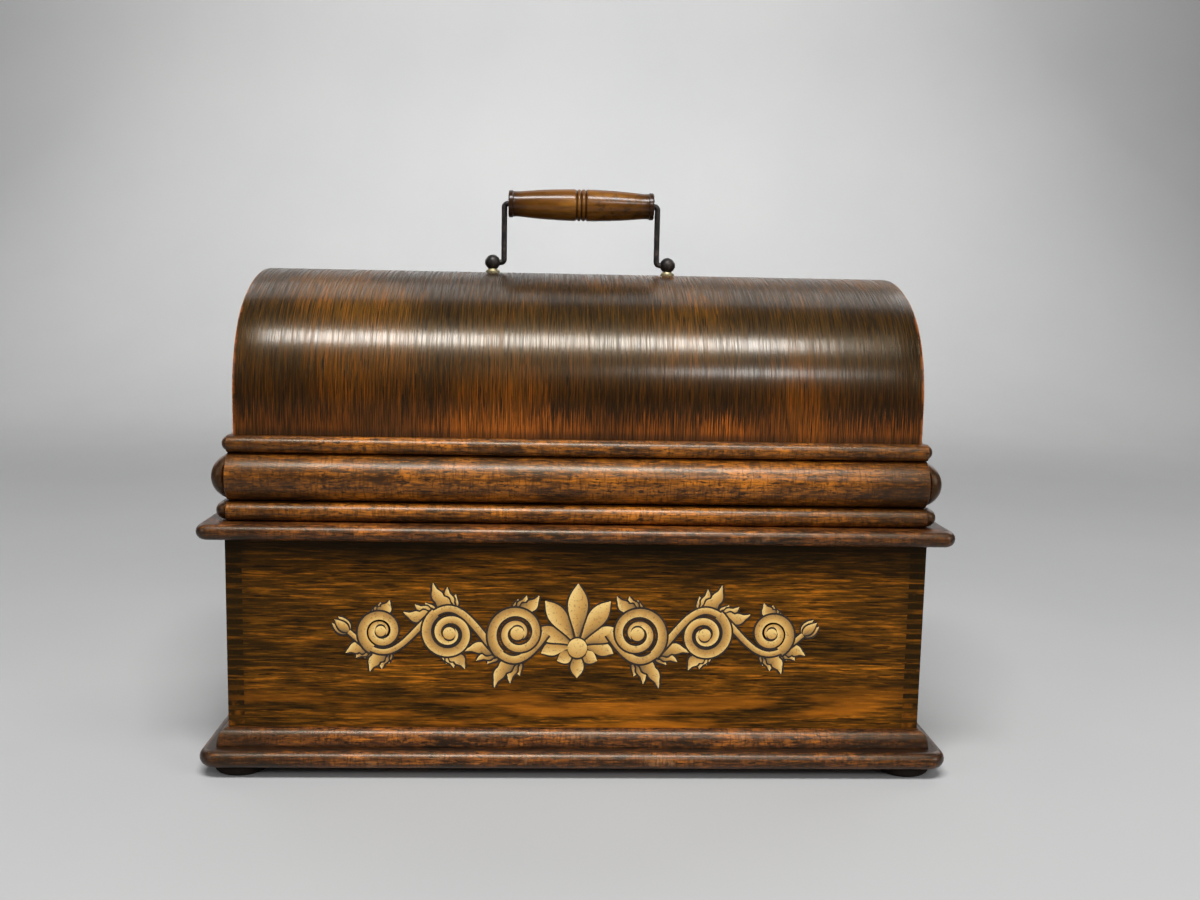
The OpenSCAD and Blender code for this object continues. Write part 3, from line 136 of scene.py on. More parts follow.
class PhonographSizes(bpy.types.PropertyGroup):
    """Sizes of the forms that are drawn over the plain solids, in metres."""

    veneer_t: length("Veneer", "Thickness of the bent lid veneer", 0.006)
    shoulder_h: length("Shoulder height", "Straight height of the dome", 0.020)
    shoulder_r: length("Shoulder radius", "Radius of the dome's shoulders", 0.065)
    low_bead_h: length("Lower bead height", "Height of the lid's lower bead", 0.0105)
    low_bead_out: length("Lower bead projection", "Projection of the lower bead", 0.0093)
    torus_h: length("Half round height", "Height of the lid's half round", 0.027)
    torus_out: length("Half round projection", "Projection of the half round", 0.0115)
    top_bead_h: length("Upper bead height", "Height of the lid's upper bead", 0.0095)
    top_bead_out: length("Upper bead projection", "Projection of the upper bead", 0.006)
    plinth_torus_h: length("Plinth torus", "Height of the plinth's lower torus", 0.010)
    plinth_round_h: length("Plinth round", "Height of the quarter round above it", 0.0095)
    plinth_round_out: length("Plinth round projection", "How far that round swells", 0.0053)
    plinth_fillet: length("Plinth fillet", "Projection of the plinth's top fillet", 0.0008)
    plinth_corner_r: length("Plinth corners", "Corner radius of the plinth's torus", 0.011)
    rim_corner_r: length("Rim corners", "Corner radius of the rim", 0.007)
    front_lap: length("Moulding lap", "How far the lid's long runs pass its ends", 0.0025)
    return_in: length("Moulding returns", "How far the end runs stop behind the long runs", 0.003)
    groove_pitch: length("Grip grooves", "Pitch of the grip's three grooves", 0.0028)
    wire_d: length("Bail wire", "Diameter of the bail wire", 0.0035)
    ball_d: length("Ball heads", "Diameter of the ball heads", 0.0094)
    ornament_w: length("Ornament width", "Width of the scroll on the front", 0.276)
    ornament_h: length("Ornament height", "Height of the scroll on the front", 0.062)
    collar_base_d: length("Collar base", "Diameter of the handle collars' foot", 0.0086)
    collar_neck_d: length("Collar neck", "Diameter of the handle collars' neck", 0.0064)
    collar_bore_d: length("Collar bore", "Bore of the handle collars", 0.0054)
    shaft_d: length("Mandrel shaft", "Diameter of the mandrel shaft's journals", 0.008)
    feed_in: length("Feed screw inset", "From a bearing's outer end to the feed screw", 0.016)
    feed_pitch: length("Feed screw pitch", "Pitch of the feed screw, drawn coarse", 0.0008)
    speed_stem_d: length("Speed screw", "Diameter of the speed screw's stem", 0.005)
    clamp_stem_d: length("Clamp screw", "Diameter of the clamp screw's stem", 0.0044)
    stripe_in: length("Bedplate line", "Inset of the gold line round the bedplate", 0.009)
    outline_w: length("Ornament outline", "Dark line round the scroll, both sides together", 0.0022)


class PhonographColours(bpy.types.PropertyGroup):
    """Colours of the finishes."""

    dome_dark: colour("Dome shade", "Darkest streaks of the dome", (22, 12, 2))
    dome_mid: colour("Dome", "Middle tone of the dome", (42, 26, 2))
    dome_light: colour("Dome light", "Palest streaks of the dome", (92, 58, 4))
    dome_fleck: colour("Dome fleck", "Orange streaks of the dome", (164, 84, 16))
    panel_dark: colour("Panel shade", "Darkest grain of the panels", (30, 18, 3))
    panel_mid: colour("Panel", "Middle tone of the panels", (67, 39, 6))
    panel_light: colour("Panel light", "Palest grain of the panels", (117, 71, 13))
    panel_fleck: colour("Panel fleck", "Orange ray flecks of the panels", (182, 104, 22))
    moulding_dark: colour("Moulding shade", "Darkest grain of the mouldings", (38, 18, 4))
    moulding_mid: colour("Moulding", "Middle tone of the mouldings", (112, 63, 14))
    moulding_light: colour("Moulding light", "Palest grain of the mouldings", (166, 98, 26))
    rim_dark: colour("Rim shade", "Darkest grain of rim and plinth", (26, 12, 5))
    rim_mid: colour("Rim", "Middle tone of rim and plinth", (82, 44, 18))
    rim_light: colour("Rim light", "Palest grain of rim and plinth", (138, 80, 30))
    grip_mid: colour("Grip", "Middle tone of the grip", (93, 56, 12))
    grip_light: colour("Grip light", "Palest grain of the grip", (134, 88, 29))
    ply_edge: colour("Veneer edge", "Bare edge of the bent veneer", (186, 104, 44))
    wear: colour("Wear", "Wood where the shellac is rubbed off", (164, 118, 78))
    ornament_gold: colour("Ornament gold", "Body colour of the scroll", (172, 128, 56))
    ornament_cream: colour("Ornament cream", "Light edge of the scroll", (210, 176, 104))
    ornament_line: colour("Ornament outline", "Dark line round the scroll", (26, 15, 6))


class Finish:
    """A procedural material, built from nodes whose inputs are numbers, colours or sockets."""

    GRAINS = {
        "X": lambda along, across: (along, across, across),
        "Y": lambda along, across: (across, along, across),
        "ARC": lambda along, across: (across, along, along),
    }

    def __init__(self, name, **sockets):
        self.material = bpy.data.materials.new(name)
        self.material.use_nodes = True
        self.tree = self.material.node_tree
        self.shader = self.tree.nodes["Principled BSDF"]
        for label, value in sockets.items():
            self.shader.inputs[label.replace("_", " ")].default_value = value
        self.place = self.node("ShaderNodeTexCoord").outputs["Object"]

    def node(self, kind, values=None, **settings):
        """A node with its settings, whose inputs are fed by label."""
        made = self.tree.nodes.new(kind)
        for label, value in settings.items():
            setattr(made, label, value)
        for label, value in (values or {}).items():
            self.feed(made.inputs[label], value)
        return made

    def feed(self, socket, value):
        """Links a socket to another, or sets its number or colour."""
        if isinstance(value, bpy.types.NodeSocket):
            self.tree.links.new(value, socket)
            return
        if socket.type == "RGBA" and len(value) == 3:
            value = (*value, 1.0)
        socket.default_value = value

    def surface(self, label, value):
        """Feeds one of the shader's own inputs."""
        self.feed(self.shader.inputs[label], value)

    def scaled(self, scale):
        """Object coordinates times one number, or times one for each axis."""
        if not isinstance(scale, tuple):
            scale = (scale, scale, scale)
        mapping = self.node("ShaderNodeMapping", {"Vector": self.place, "Scale": scale})
        return mapping.outputs["Vector"]

    def noise(self, scale, detail=3.0, rough=0.55):
        """Cloudy noise from 0 to 1, at about so many clouds to the metre."""
        made = self.node("ShaderNodeTexNoise", {"Vector": self.scaled(scale), "Scale": 1.0,
                                                "Detail": detail, "Roughness": rough})
        return made.outputs["Fac"]

    def grain(self, grain, along, across, detail=3.0, rough=0.55):
        """Noise that is stretched along the grain."""
        return self.noise(self.GRAINS[grain](along, across), detail, rough)

    def level(self, value, low, high, to_low=0.0, to_high=1.0):
        """Smooth step of a value from one range to another."""
        made = self.node("ShaderNodeMapRange", {"Value": value, "From Min": low, "From Max": high,
                                                "To Min": to_low, "To Max": to_high},
                         interpolation_type="SMOOTHSTEP")
        return made.outputs["Result"]

    def calc(self, operation, first, second=0.0):
        """One sum on one or two values."""
        made = self.node("ShaderNodeMath", operation=operation)
        self.feed(made.inputs[0], first)
        self.feed(made.inputs[1], second)
        return made.outputs[0]

    def times(self, first, *others):
        """Product of values."""
        for other in others:
            first = self.calc("MULTIPLY", first, other)
        return first

    def mix(self, share, first, second, blend="MIX"):
        """A share of the second colour over the first."""
        made = self.node("ShaderNodeMix", data_type="RGBA", blend_type=blend)
        self.feed(made.inputs[0], share)
        self.feed(made.inputs[6], first)
        self.feed(made.inputs[7], second)
        return made.outputs[2]

    def ramp(self, value, *stops):
        """Colours at places from 0 to 1, with straight steps between them."""
        made = self.node("ShaderNodeValToRGB", {"Fac": value})
        points = made.color_ramp.elements
        for index, (place, tone) in enumerate(stops):
            point = points[index] if index < len(points) else points.new(place)
            point.position = place
            point.color = (*tone, 1.0)
        return made.outputs["Color"]

    def axis(self, label):
        """One Object coordinate."""
        return self.node("ShaderNodeSeparateXYZ", {"Vector": self.place}).outputs[label]

    def far(self, label):
        """One Object coordinate without its sign."""
        return self.calc("ABSOLUTE", self.axis(label))

    def normal_axis(self, label):
        """One coordinate of the face's direction."""
        facing = self.node("ShaderNodeNewGeometry").outputs["True Normal"]
        return self.node("ShaderNodeSeparateXYZ", {"Vector": facing}).outputs[label]

    def facing(self, label):
        """How far a face looks along an axis, either way, from 0 to 1."""
        return self.calc("ABSOLUTE", self.normal_axis(label))

    def painted(self, label):
        """Value of one of the piece's own vertex attributes."""
        return self.node("ShaderNodeAttribute", attribute_name=label).outputs["Fac"]

    def bump(self, height, distance, strength=1.0):
        """Fine relief under the finish."""
        made = self.node("ShaderNodeBump", {"Height": height, "Distance": distance,
                                            "Strength": strength})
        self.surface("Normal", made.outputs["Normal"])


def oak(name, grain, tones, fleck, along=85.0, across=1100.0, cloud=(14.0, 34.0),
        fleck_share=0.8, gloss=(0.04, 0.5, 0.18), rough=(0.30, 0.50), soot=0.6, dash=0.55):
    """Shellacked oak: cloudy stain, dashes of grain, paler flecks, open pores and old grime.

    Every pattern is noise on Object coordinates, stretched along the grain: along and across are
    its dashes per metre, cloud the same for the stain, gloss the specular level, coat and
    coat roughness, soot the share of black in its pores, dash the share of pale dashes.
    Returns the finish and its colour socket, so that a piece can add what is its own.
    """
    dark, mid, light = tones
    made = Finish(name, Specular_IOR_Level=gloss[0], Specular_Tint=SHELLAC, Coat_Weight=gloss[1],
                  Coat_Roughness=gloss[2])
    clouds = made.grain(grain, *cloud, detail=2.5)
    dashes = made.grain(grain, along, across, 5.0, 0.68)
    fibres = made.grain(grain, 0.5 * along, 2.2 * across, 2.0)
    pores = made.grain(grain, 1.7 * along, 1.25 * across, 2.0)
    grime = made.noise(21.0, 6.0, 0.68)
    wood = made.ramp(clouds, (0.34, dark), (0.52, mid), (0.74, light))
    wood = made.mix(made.level(dashes, 0.46, 0.64, 0.0, dash), wood, light)
    bright = made.times(made.level(clouds, 0.42, 0.66), made.level(dashes, 0.50, 0.64))
    wood = made.mix(made.times(bright, fleck_share), wood, fleck)
    wood = made.mix(made.level(dashes, 0.50, 0.36, 0.0, 0.6), wood, dark)
    wood = made.mix(made.level(fibres, 0.54, 0.40, 0.0, 0.45), wood, dark)
    wood = made.mix(made.level(pores, 0.56, 0.66, 0.0, soot), wood, share_of(dark, 0.4))
    wood = made.mix(made.level(grime, 0.54, 0.74, 0.0, 0.6), wood, share_of(dark, 0.6))
    made.surface("Roughness", made.level(grime, 0.3, 0.7, *rough))
    made.bump(made.calc("SUBTRACT", made.times(dashes, 0.5), made.level(pores, 0.55, 0.7)),
              0.0002, 0.3)
    return made, wood


def sheet(points, close_u=False, close_v=False):
    """Vertices and quads of a grid of points.

    A closed direction joins its last row to its first.
    """
    rows, columns = points.shape[:2]
    index = np.arange(rows * columns).reshape(rows, columns)
    if close_u:
        index = np.vstack([index, index[:1]])
    if close_v:
        index = np.hstack([index, index[:, :1]])
    quads = np.stack([index[:-1, :-1], index[1:, :-1], index[1:, 1:], index[:-1, 1:]], axis=-1)
    return points.reshape(-1, 3), quads.reshape(-1, 4).tolist()


def bar(points, close_u=False):
    """A closed section carried along a path: rows of the grid are sections, and ends are capped."""
    vertices, faces = sheet(points, close_u, True)
    if not close_u:
        rows, columns = points.shape[:2]
        first = np.arange(columns)
        faces.append(first[::-1].tolist())
        faces.append((first + (rows - 1) * columns).tolist())
    return vertices, faces


def piece(name, surfaces, finish, body, replaced=(), paint=None, sharp=35.0):
    """One object from several surfaces, welded, with its faces turned outwards.

    paint holds vertex attributes as whole arrays, and sharp is the angle of its creases.
    """
    starts = np.cumsum([0] + [len(vertices) for vertices, faces in surfaces])
    vertices = np.concatenate([vertices for vertices, faces in surfaces])
    faces = []
    for start, (_, quads) in zip(starts, surfaces):
        faces += [[int(start) + corner for corner in quad] for quad in quads]
    mesh = bpy.data.meshes.new(name)
    mesh.from_pydata(vertices.tolist(), [], faces)
    for label, values in (paint or {}).items():
        layer = mesh.attributes.new(label, "FLOAT", "POINT")
        layer.data.foreach_set("value", np.asarray(values, dtype=np.float32).ravel())
    mesh.materials.append(finish.material)
    shell = bmesh.new()
    shell.from_mesh(mesh)
    bmesh.ops.remove_doubles(shell, verts=shell.verts, dist=1e-6)
    bmesh.ops.dissolve_degenerate(shell, edges=shell.edges, dist=1e-6)
    bmesh.ops.recalc_face_normals(shell, faces=shell.faces)
    shell.to_mesh(mesh)
    shell.free()
    mesh.shade_smooth()
    mesh.set_sharp_from_angle(angle=math.radians(sharp))
    made = bpy.data.objects.new(name, mesh)
    bpy.context.collection.objects.link(made)
    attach(made, body)
    if replaced:
        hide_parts(*replaced)
    return made


def dress(finish, *nodes):
    """Gives CAD nodes a finish in place of their plain one."""
    for label in nodes:
        slots = NODES[label].data.materials
        slots.clear()
        slots.append(finish.material)


def turned(profile, axis, steps=64, cut=0.0, ring=False):
    """A profile of (radius, height) pairs spun about an axis through a point.

    axis is "X", "Y" or "Z" and a point on it. Each point goes round a circle of its own radius,
    less what cut takes off there; the profile of a ring closes on itself.
    """
    direction, centre = axis
    radius, height = np.array(profile, dtype=float).T
    turn = np.linspace(0.0, TAU, steps, endpoint=False)
    reach = np.repeat(radius[:, None], steps, axis=1) - cut
    along = np.repeat(height[:, None], steps, axis=1)
    round_a = reach * np.cos(turn)
    round_b = reach * np.sin(turn)
    order = {"X": (along, round_a, round_b), "Y": (round_a, along, round_b),
             "Z": (round_a, round_b, along)}[direction]
    return bar(np.stack(order, axis=-1) + np.array(centre), ring)


def ridges(depth, lead, teeth, steps):
    """Depth of ridges on a turned grid: depth * (1 + cos(lead - teeth * angle)) / 2.

    One tooth and a lead that grows along the axis make a thread, many teeth a straight knurl.
    """
    turn = np.linspace(0.0, TAU, steps, endpoint=False)
    wave = np.cos(np.asarray(lead)[:, None] - teeth * turn)
    return np.asarray(depth)[:, None] * (0.5 + 0.5 * wave)


def arc(centre, radius, first, last, steps):
    """Points of an arc, angles in degrees."""
    angle = np.radians(np.linspace(first, last, steps))
    return np.array(centre) + radius * np.column_stack([np.cos(angle), np.sin(angle)])


def corners(node):
    """Lowest and highest corner of a CAD node as arrays."""
    low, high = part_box(node)
    return np.array(low), np.array(high)


def bent_arch(sizes, half, base, rise, inset):
    """Section of the bent veneer in Y and Z, from the front foot over the ridge to the back foot.

    Straight shoulders carry arcs of the shoulder radius, and one crown arc is tangent to both:
    its radius R solves (R - r)^2 = c^2 + (rise - shoulder - R)^2, c the shoulder arcs' centre.
    """
    radius = sizes.shoulder_r
    centre = half - radius
    above = rise - sizes.shoulder_h
    crown = (centre ** 2 + above ** 2 - radius ** 2) / (2.0 * (above - radius))
    crown_z = rise - crown
    lean = math.degrees(math.atan2(sizes.shoulder_h - crown_z, centre))
    front = arc((-centre, sizes.shoulder_h), radius - inset, 180.0, 180.0 - lean, 26)
    top = arc((0.0, crown_z), crown - inset, 180.0 - lean, lean, 52)
    back = arc((centre, sizes.shoulder_h), radius - inset, lean, 0.0, 26)
    foot = np.linspace(0.0, sizes.shoulder_h, 6)[:-1]
    rise_up = np.stack([np.full(5, -(half - inset)), foot], axis=1)
    go_down = np.stack([np.full(5, half - inset), foot[::-1]], axis=1)
    line = np.concatenate([rise_up, front, top[1:], back[1:], go_down])
    line[:, 1] += base
    return line


def bent_dome(sizes):
    """Bent veneer: the arch carried from end to end, its wall's edge rounded at both ends."""
    low, high = corners("lid_dome")
    rise = high[2] - low[2]
    wall = sizes.veneer_t
    edge = 0.0012
    ease = np.array([0.0, 0.15, 0.5, 1.0]) * edge
    stations = np.concatenate([low[0] + ease, np.linspace(low[0], high[0], 26)[1:-1],
                               high[0] - ease[::-1]])
    shrink = np.zeros(len(stations))
    shrink[:4] = edge * (1.0 - np.sqrt(1.0 - (1.0 - ease / edge) ** 2))
    shrink[-4:] = shrink[:4][::-1]
    rings = []
    for x, eased in zip(stations, shrink):
        outer = bent_arch(sizes, high[1], low[2], rise, eased)
        inner = bent_arch(sizes, high[1], low[2], rise, wall - eased)
        ring = np.concatenate([outer, inner[::-1]])
        rings.append(np.column_stack([np.full(len(ring), x), ring]))
    grid = np.stack(rings)
    vertices, faces = sheet(grid, False, True)
    rows, count = grid.shape[:2]
    left = np.arange(count // 2 - 1)
    for start in (0, (rows - 1) * count):
        strip = np.stack([left, left + 1, count - 2 - left, count - 1 - left], axis=1) + start
        faces += strip.tolist()
    return vertices, faces


def bead_outline(height, out, steps=15):
    """Half-round bead of a given projection, from its foot to its top, as (out, height)."""
    nose = height / 2.0
    if out >= nose:
        turn = np.radians(np.linspace(-90.0, 90.0, steps))
        return np.stack([out - nose + nose * np.cos(turn), nose + nose * np.sin(turn)], axis=1)
    radius = (nose ** 2 + out ** 2) / (2.0 * out)
    reach = math.degrees(math.asin(nose / radius))
    turn = np.radians(np.linspace(-reach, reach, steps))
    return np.stack([out - radius + radius * np.cos(turn), nose + radius * np.sin(turn)], axis=1)


def lid_moulding_outline(sizes):
    """Bead, half round and bead above one another, each as its own (out, height) outline."""
    low = bead_outline(sizes.low_bead_h, sizes.low_bead_out)
    middle = bead_outline(sizes.torus_h, sizes.torus_out, 25) + [0.0, sizes.low_bead_h]
    top = bead_outline(sizes.top_bead_h, sizes.top_bead_out)
    top = top + [0.0, sizes.low_bead_h + sizes.torus_h]
    return low, middle, top


def moulding_run(outline, half_length, follow, share, stations=40, end_steps=10):
    """An outline of (out, height) drawn along a straight run, closed by a flat back.

    A point that lies out by u ends at half_length + follow * u, and its end is rounded by a
    quarter circle of radius share * u, which pulls it inwards.
    """
    back = np.array([[0.0, outline[-1, 1]], [0.0, outline[0, 1]]])
    loop = np.concatenate([outline, back])
    ease = share * loop[:, 0]
    straight = half_length + follow * loop[:, 0] - ease
    turn = np.radians(np.linspace(90.0, 0.0, end_steps))[:, None]
    past = straight + ease * np.sin(turn)
    inner = np.linspace(-1.0, 1.0, stations)[1:-1, None] * straight
    along = np.concatenate([-past, inner, past[::-1]])
    pull = ease * (1.0 - np.cos(turn))
    out = loop[:, 0] - np.concatenate([pull, np.zeros_like(inner), pull[::-1]])
    return along, out, np.broadcast_to(loop[:, 1], out.shape)


def quarter(side, along, out, height, offset, base):
    """Sets a run of moulding on one of the four sides: along it, out from it, and up."""
    reach = offset + out
    ways = {"front": (along, -reach), "back": (-along, reach),
            "right": (reach, along), "left": (-reach, -along)}
    x, y = ways[side]
    return np.stack([x, y, base + height], axis=-1)


def framed_side(outline, half_long, half_short, reach, corner):
    """One mitred side of a frame whose outer corners are rounded, seen from above.

    A point of the outline that lies out by u keeps the round r - (reach - u), or none. Its path
    is straight between the corner rounds and follows each of them as far as the mitre.
    """
    out = outline[:, 0]
    bend = np.maximum(corner - (reach - out), 0.0)
    straight = np.linspace(-1.0, 1.0, 44)
    turn = np.radians(np.linspace(0.0, 45.0, 8))[1:]
    end = half_long + out - bend
    middle = straight[:, None] * end
    right = end + bend * np.sin(turn)[:, None]
    along = np.concatenate([-right[::-1], middle, right])
    drop = bend * (1.0 - np.cos(turn))[:, None]
    flat = np.zeros_like(middle)
    away = out - np.concatenate([drop[::-1], flat, drop])
    height = np.broadcast_to(outline[:, 1], along.shape)
    return along, away, height


def plinth_outline(sizes, height, out):
    """Torus nose, flat ledge, quarter of an ellipse and a fillet, closed by the flat back."""
    nose = sizes.plinth_torus_h / 2.0
    low = arc((out - nose, nose), nose, -90.0, 90.0, 21)
    across = np.linspace(out - nose, sizes.plinth_fillet + sizes.plinth_round_out, 8)[1:]
    ledge = np.column_stack([across, np.full_like(across, 2.0 * nose)])
    turn = np.radians(np.linspace(0.0, 90.0, 17))[1:]
    swell = np.column_stack([sizes.plinth_fillet + sizes.plinth_round_out * np.cos(turn),
                             2.0 * nose + sizes.plinth_round_h * np.sin(turn)])
    edge = np.array([[sizes.plinth_fillet, height], [0.0, height], [0.0, 0.0]])
    return np.concatenate([low, ledge, swell, edge])


def rim_outline(height, out, inner):
    """Flat board with a full round nose."""
    nose = height / 2.0
    front = arc((out - nose, nose), nose, -90.0, 90.0, 25)
    return np.concatenate([front, np.array([[-inner, height], [-inner, 0.0]])])


def wear_paint(place, low, high):
    """A 0 to 1 ramp along one coordinate, for paint attributes."""
    return np.clip((place - low) / (high - low), 0.0, 1.0)


def dome_finish(tones):
    """Bent oak veneer: the grain runs round the arch, streaked, with paler wood at its feet.

    Orange tips stand up from the foot in bays, the veneer's end edges are bare, a nicked orange
    stripe beside them is rubbed edge and painted highlight together, and the sheen is broken by
    the streaks and a slow haze.
    """
    made, wood = oak("bent oak veneer", "ARC", (tones.dome_dark, tones.dome_mid, tones.dome_light),
                     tones.dome_fleck, 40.0, 1700.0, (9.0, 14.0), 0.25,
                     gloss=(0.18, 0.35, 0.2), soot=0.95, dash=0.4)
    low, high = corners("lid_dome")
    foot = low[2]
    z = made.axis("Z")
    x = made.axis("X")
    streaks = made.grain("ARC", 30.0, 1300.0, 5.0, 0.68)
    bays = made.noise((22.0, 9.0, 9.0))
    tips = made.calc("SUBTRACT", z, made.level(streaks, 0.4, 0.64, -0.005, 0.009))
    glow = made.times(made.level(tips, foot + 0.014, foot + 0.003),
                      made.level(z, foot + 0.001, foot + 0.006, 0.25, 1.0),
                      made.level(x, -0.11, -0.05, 0.35, 1.0),
                      made.level(x, 0.17, 0.09, 0.5, 1.0),
                      made.level(bays, 0.36, 0.58, 0.35, 1.0),
                      made.level(streaks, 0.42, 0.62, 0.1, 0.75))
    wood = made.mix(made.level(z, foot + 0.07, foot + 0.015, 0.0, 0.8), wood, (1.0, 0.66, 0.45),
                    "MULTIPLY")
    wood = made.mix(glow, wood, tones.dome_fleck)
    # Nicked orange stripe along both ends of the veneer: rubbed edge and a painted highlight of its
    # lit end
    nicks = made.noise((60.0, 90.0, 90.0), 4.0, 0.7)
    rim = made.times(made.level(made.calc("ABSOLUTE", x), high[0] - 0.0024, high[0] - 0.0006),
                     made.level(nicks, 0.45, 0.62, 0.1, 0.7))
    wood = made.mix(rim, wood, share_of(tones.ply_edge, 0.5))
    plies = made.noise((30.0, 60.0, 900.0), 2.0)
    bare = made.mix(made.level(plies, 0.42, 0.62), tones.ply_edge, share_of(tones.ply_edge, 0.35))
    made.surface("Base Color", made.mix(made.level(made.facing("X"), 0.4, 0.8), wood, bare))
    haze = made.noise((7.0, 11.0, 11.0), 4.0)
    made.surface("Roughness", made.level(streaks, 0.38, 0.60, 0.42, 0.24))
    made.surface("Coat Weight", made.times(made.level(streaks, 0.38, 0.60, 0.35, 1.0),
                                           made.level(haze, 0.32, 0.62, 0.6, 1.0), 0.55))
    return made


def panel_finish(name, grain, tones, boxed=True):
    """Box oak: quarter-sawn panels with ray flecks, and dark end grain on the comb's fingers.

    On the box it is warmer low down, darker at its corners, and under the rim it carries a painted
    shadow of the rim.
    """
    made, wood = oak(name, grain, (tones.panel_dark, tones.panel_mid, tones.panel_light),
                     tones.panel_fleck, 42.0, 640.0, (9.0, 60.0), 0.7,
                     gloss=(0.10, 0.04, 0.2), soot=0.75)
    ends = made.ramp(made.noise(700.0, 2.0), (0.35, share_of(tones.panel_dark, 0.6)),
                     (0.6, tones.panel_dark), (0.8, tones.panel_mid))
    wood = made.mix(made.level(made.facing(grain), 0.5, 0.8), wood, ends)
    if not boxed:
        made.surface("Base Color", wood)
        return made
    low, high = corners("long_panels")
    z = made.axis("Z")
    warmth = made.times(made.level(z, low[2] + 0.052, low[2] + 0.024),
                        made.level(made.grain(grain, 14.0, 90.0, 4.0), 0.46, 0.64, 0.0, 0.5))
    wood = made.mix(warmth, wood, tones.panel_fleck)
    reach = high["XY".index(grain)]
    corner = made.level(made.far(grain), reach - 0.017, reach - 0.005, 0.0, 0.5)
    wood = made.mix(corner, wood, tones.panel_dark)
    # Painted shadow of the rim's overhang along the top of the panels
    top = made.level(z, high[2] - 0.013, high[2] - 0.004, 0.0, 0.85)
    made.surface("Base Color", made.mix(top, wood, share_of(tones.panel_dark, 0.5)))
    return made


def moulding_finish(name, grain, shades, tones, rubbed=0.4):
    """Moulded oak: grain along the run, dirt and painted shade in quirks, pale noses and end grain.

    Reads the run's own quirk and nose attributes, both from 0 to 1; the nose wear on the plinth's
    upper round is also a painted highlight. Towards its ends it is darker, and faces that look
    along the run are darker and duller, dark end grain with painted shade.
    """
    made, wood = oak(name, grain, shades, tones.panel_fleck, 120.0, 620.0, (30.0, 70.0), 0.55,
                     gloss=(0.25, 0.28, 0.3), soot=0.9)
    dark = shades[0]
    spots = made.noise((190.0, 190.0, 330.0), 4.0, 0.6)
    wood = made.mix(made.level(spots, 0.60, 0.68, 0.0, 0.8), wood, share_of(dark, 0.5))
    patches = made.noise(45.0, 6.0, 0.7)
    # Pale rubbed wear on the noses; on the plinth's upper round it is also a painted highlight
    wear_and_sheen = made.times(made.painted("nose"), made.level(patches, 0.55, 0.68, 0.0, rubbed))
    wood = made.mix(wear_and_sheen, wood, tones.wear)
    # Dirt and painted shade in the quirks and on the plinth's ledge
    dirt_and_shade = made.times(made.painted("quirk"), made.level(patches, 0.2, 0.6, 0.95, 0.75))
    wood = made.mix(dirt_and_shade, wood, share_of(dark, 0.25))
    rays = made.grain(grain, 700.0, 130.0, 2.0)
    wood = made.mix(made.level(rays, 0.50, 0.64, 0.0, 0.55), wood, dark)
    reach = corners("rim_long_boards")[1]["XY".index(grain)]
    # Darker towards the ends of the run
    darker_ends = made.times(made.level(made.far(grain), reach - 0.085, reach - 0.02),
                       made.level(patches, 0.3, 0.6, 0.3, 0.75))
    wood = made.mix(darker_ends, wood, share_of(dark, 0.8))
    facing = made.facing(grain)
    # Faces that look along the run: dark end grain, darkened further by painted shade
    ends = made.mix(made.level(made.noise(520.0), 0.4, 0.65), share_of(dark, 0.5),
                    share_of(dark, 1.5))
    made.surface("Coat Weight", made.level(facing, 0.5, 0.95, 0.28, 0.12))
    made.surface("Base Color", made.mix(made.level(facing, 0.25, 0.7, 0.0, 0.9), wood, ends))
    return made


def turned_wood_finish(tones):
    """Turned grip: smooth honey wood, mottled on one half, dark in its grooves and at its ends."""
    made = Finish("turned grip wood", Specular_IOR_Level=0.1, Coat_Weight=0.3, Coat_Roughness=0.2)
    clouds = made.noise((24.0, 90.0, 90.0), 4.0)
    fibres = made.noise((70.0, 900.0, 900.0))
    mottle = made.noise((170.0, 260.0, 260.0), 4.0, 0.65)
    wood = made.ramp(clouds, (0.3, share_of(tones.grip_mid, 0.55)), (0.5, tones.grip_mid),
                     (0.72, tones.grip_light))
    wood = made.mix(made.level(fibres, 0.5, 0.72, 0.0, 0.45), wood, share_of(tones.grip_mid, 0.3))
    spots = made.times(made.level(made.axis("X"), -0.004, 0.018, 0.15, 1.0),
                       made.level(mottle, 0.5, 0.64, 0.0, 0.7))
    wood = made.mix(spots, wood, tones.panel_dark)
    made.surface("Base Color", made.mix(made.painted("quirk"), wood,
                                        share_of(tones.moulding_dark, 0.5)))
    made.surface("Roughness", made.level(clouds, 0.3, 0.7, 0.25, 0.42))
    made.bump(fibres, 0.0001, 0.2)
    return made


def plain_wood_finish(tones):
    """Unpolished inside boards: pale, dry oak."""
    made, wood = oak("plain oak", "X", (tones.panel_mid, tones.panel_light, tones.wear),
                     tones.panel_light, fleck_share=0.3, gloss=(0.2, 0.0, 0.3), rough=(0.6, 0.8))
    made.surface("Base Color", wood)
    return made


def metal_finish(name, bright, dull, rough=(0.18, 0.4), spun=False, tarnish=0.4):
    """Bare or plated metal: fine polishing lines, fingermarks and tarnish.

    On a spun piece the lines go round X.
    """
    made = Finish(name, Metallic=1.0)
    lines = made.noise((900.0, 20.0, 20.0) if spun else (60.0, 700.0, 700.0))
    marks = made.noise(60.0, 5.0, 0.65)
    base = made.mix(made.level(marks, 0.48, 0.72, 0.0, tarnish), bright, dull)
    made.surface("Base Color", made.mix(made.level(lines, 0.35, 0.7, 0.0, 0.25), base, dull))
    made.surface("Roughness", made.level(marks, 0.3, 0.7, *rough))
    made.bump(lines, 0.000015, 0.25)
    return made


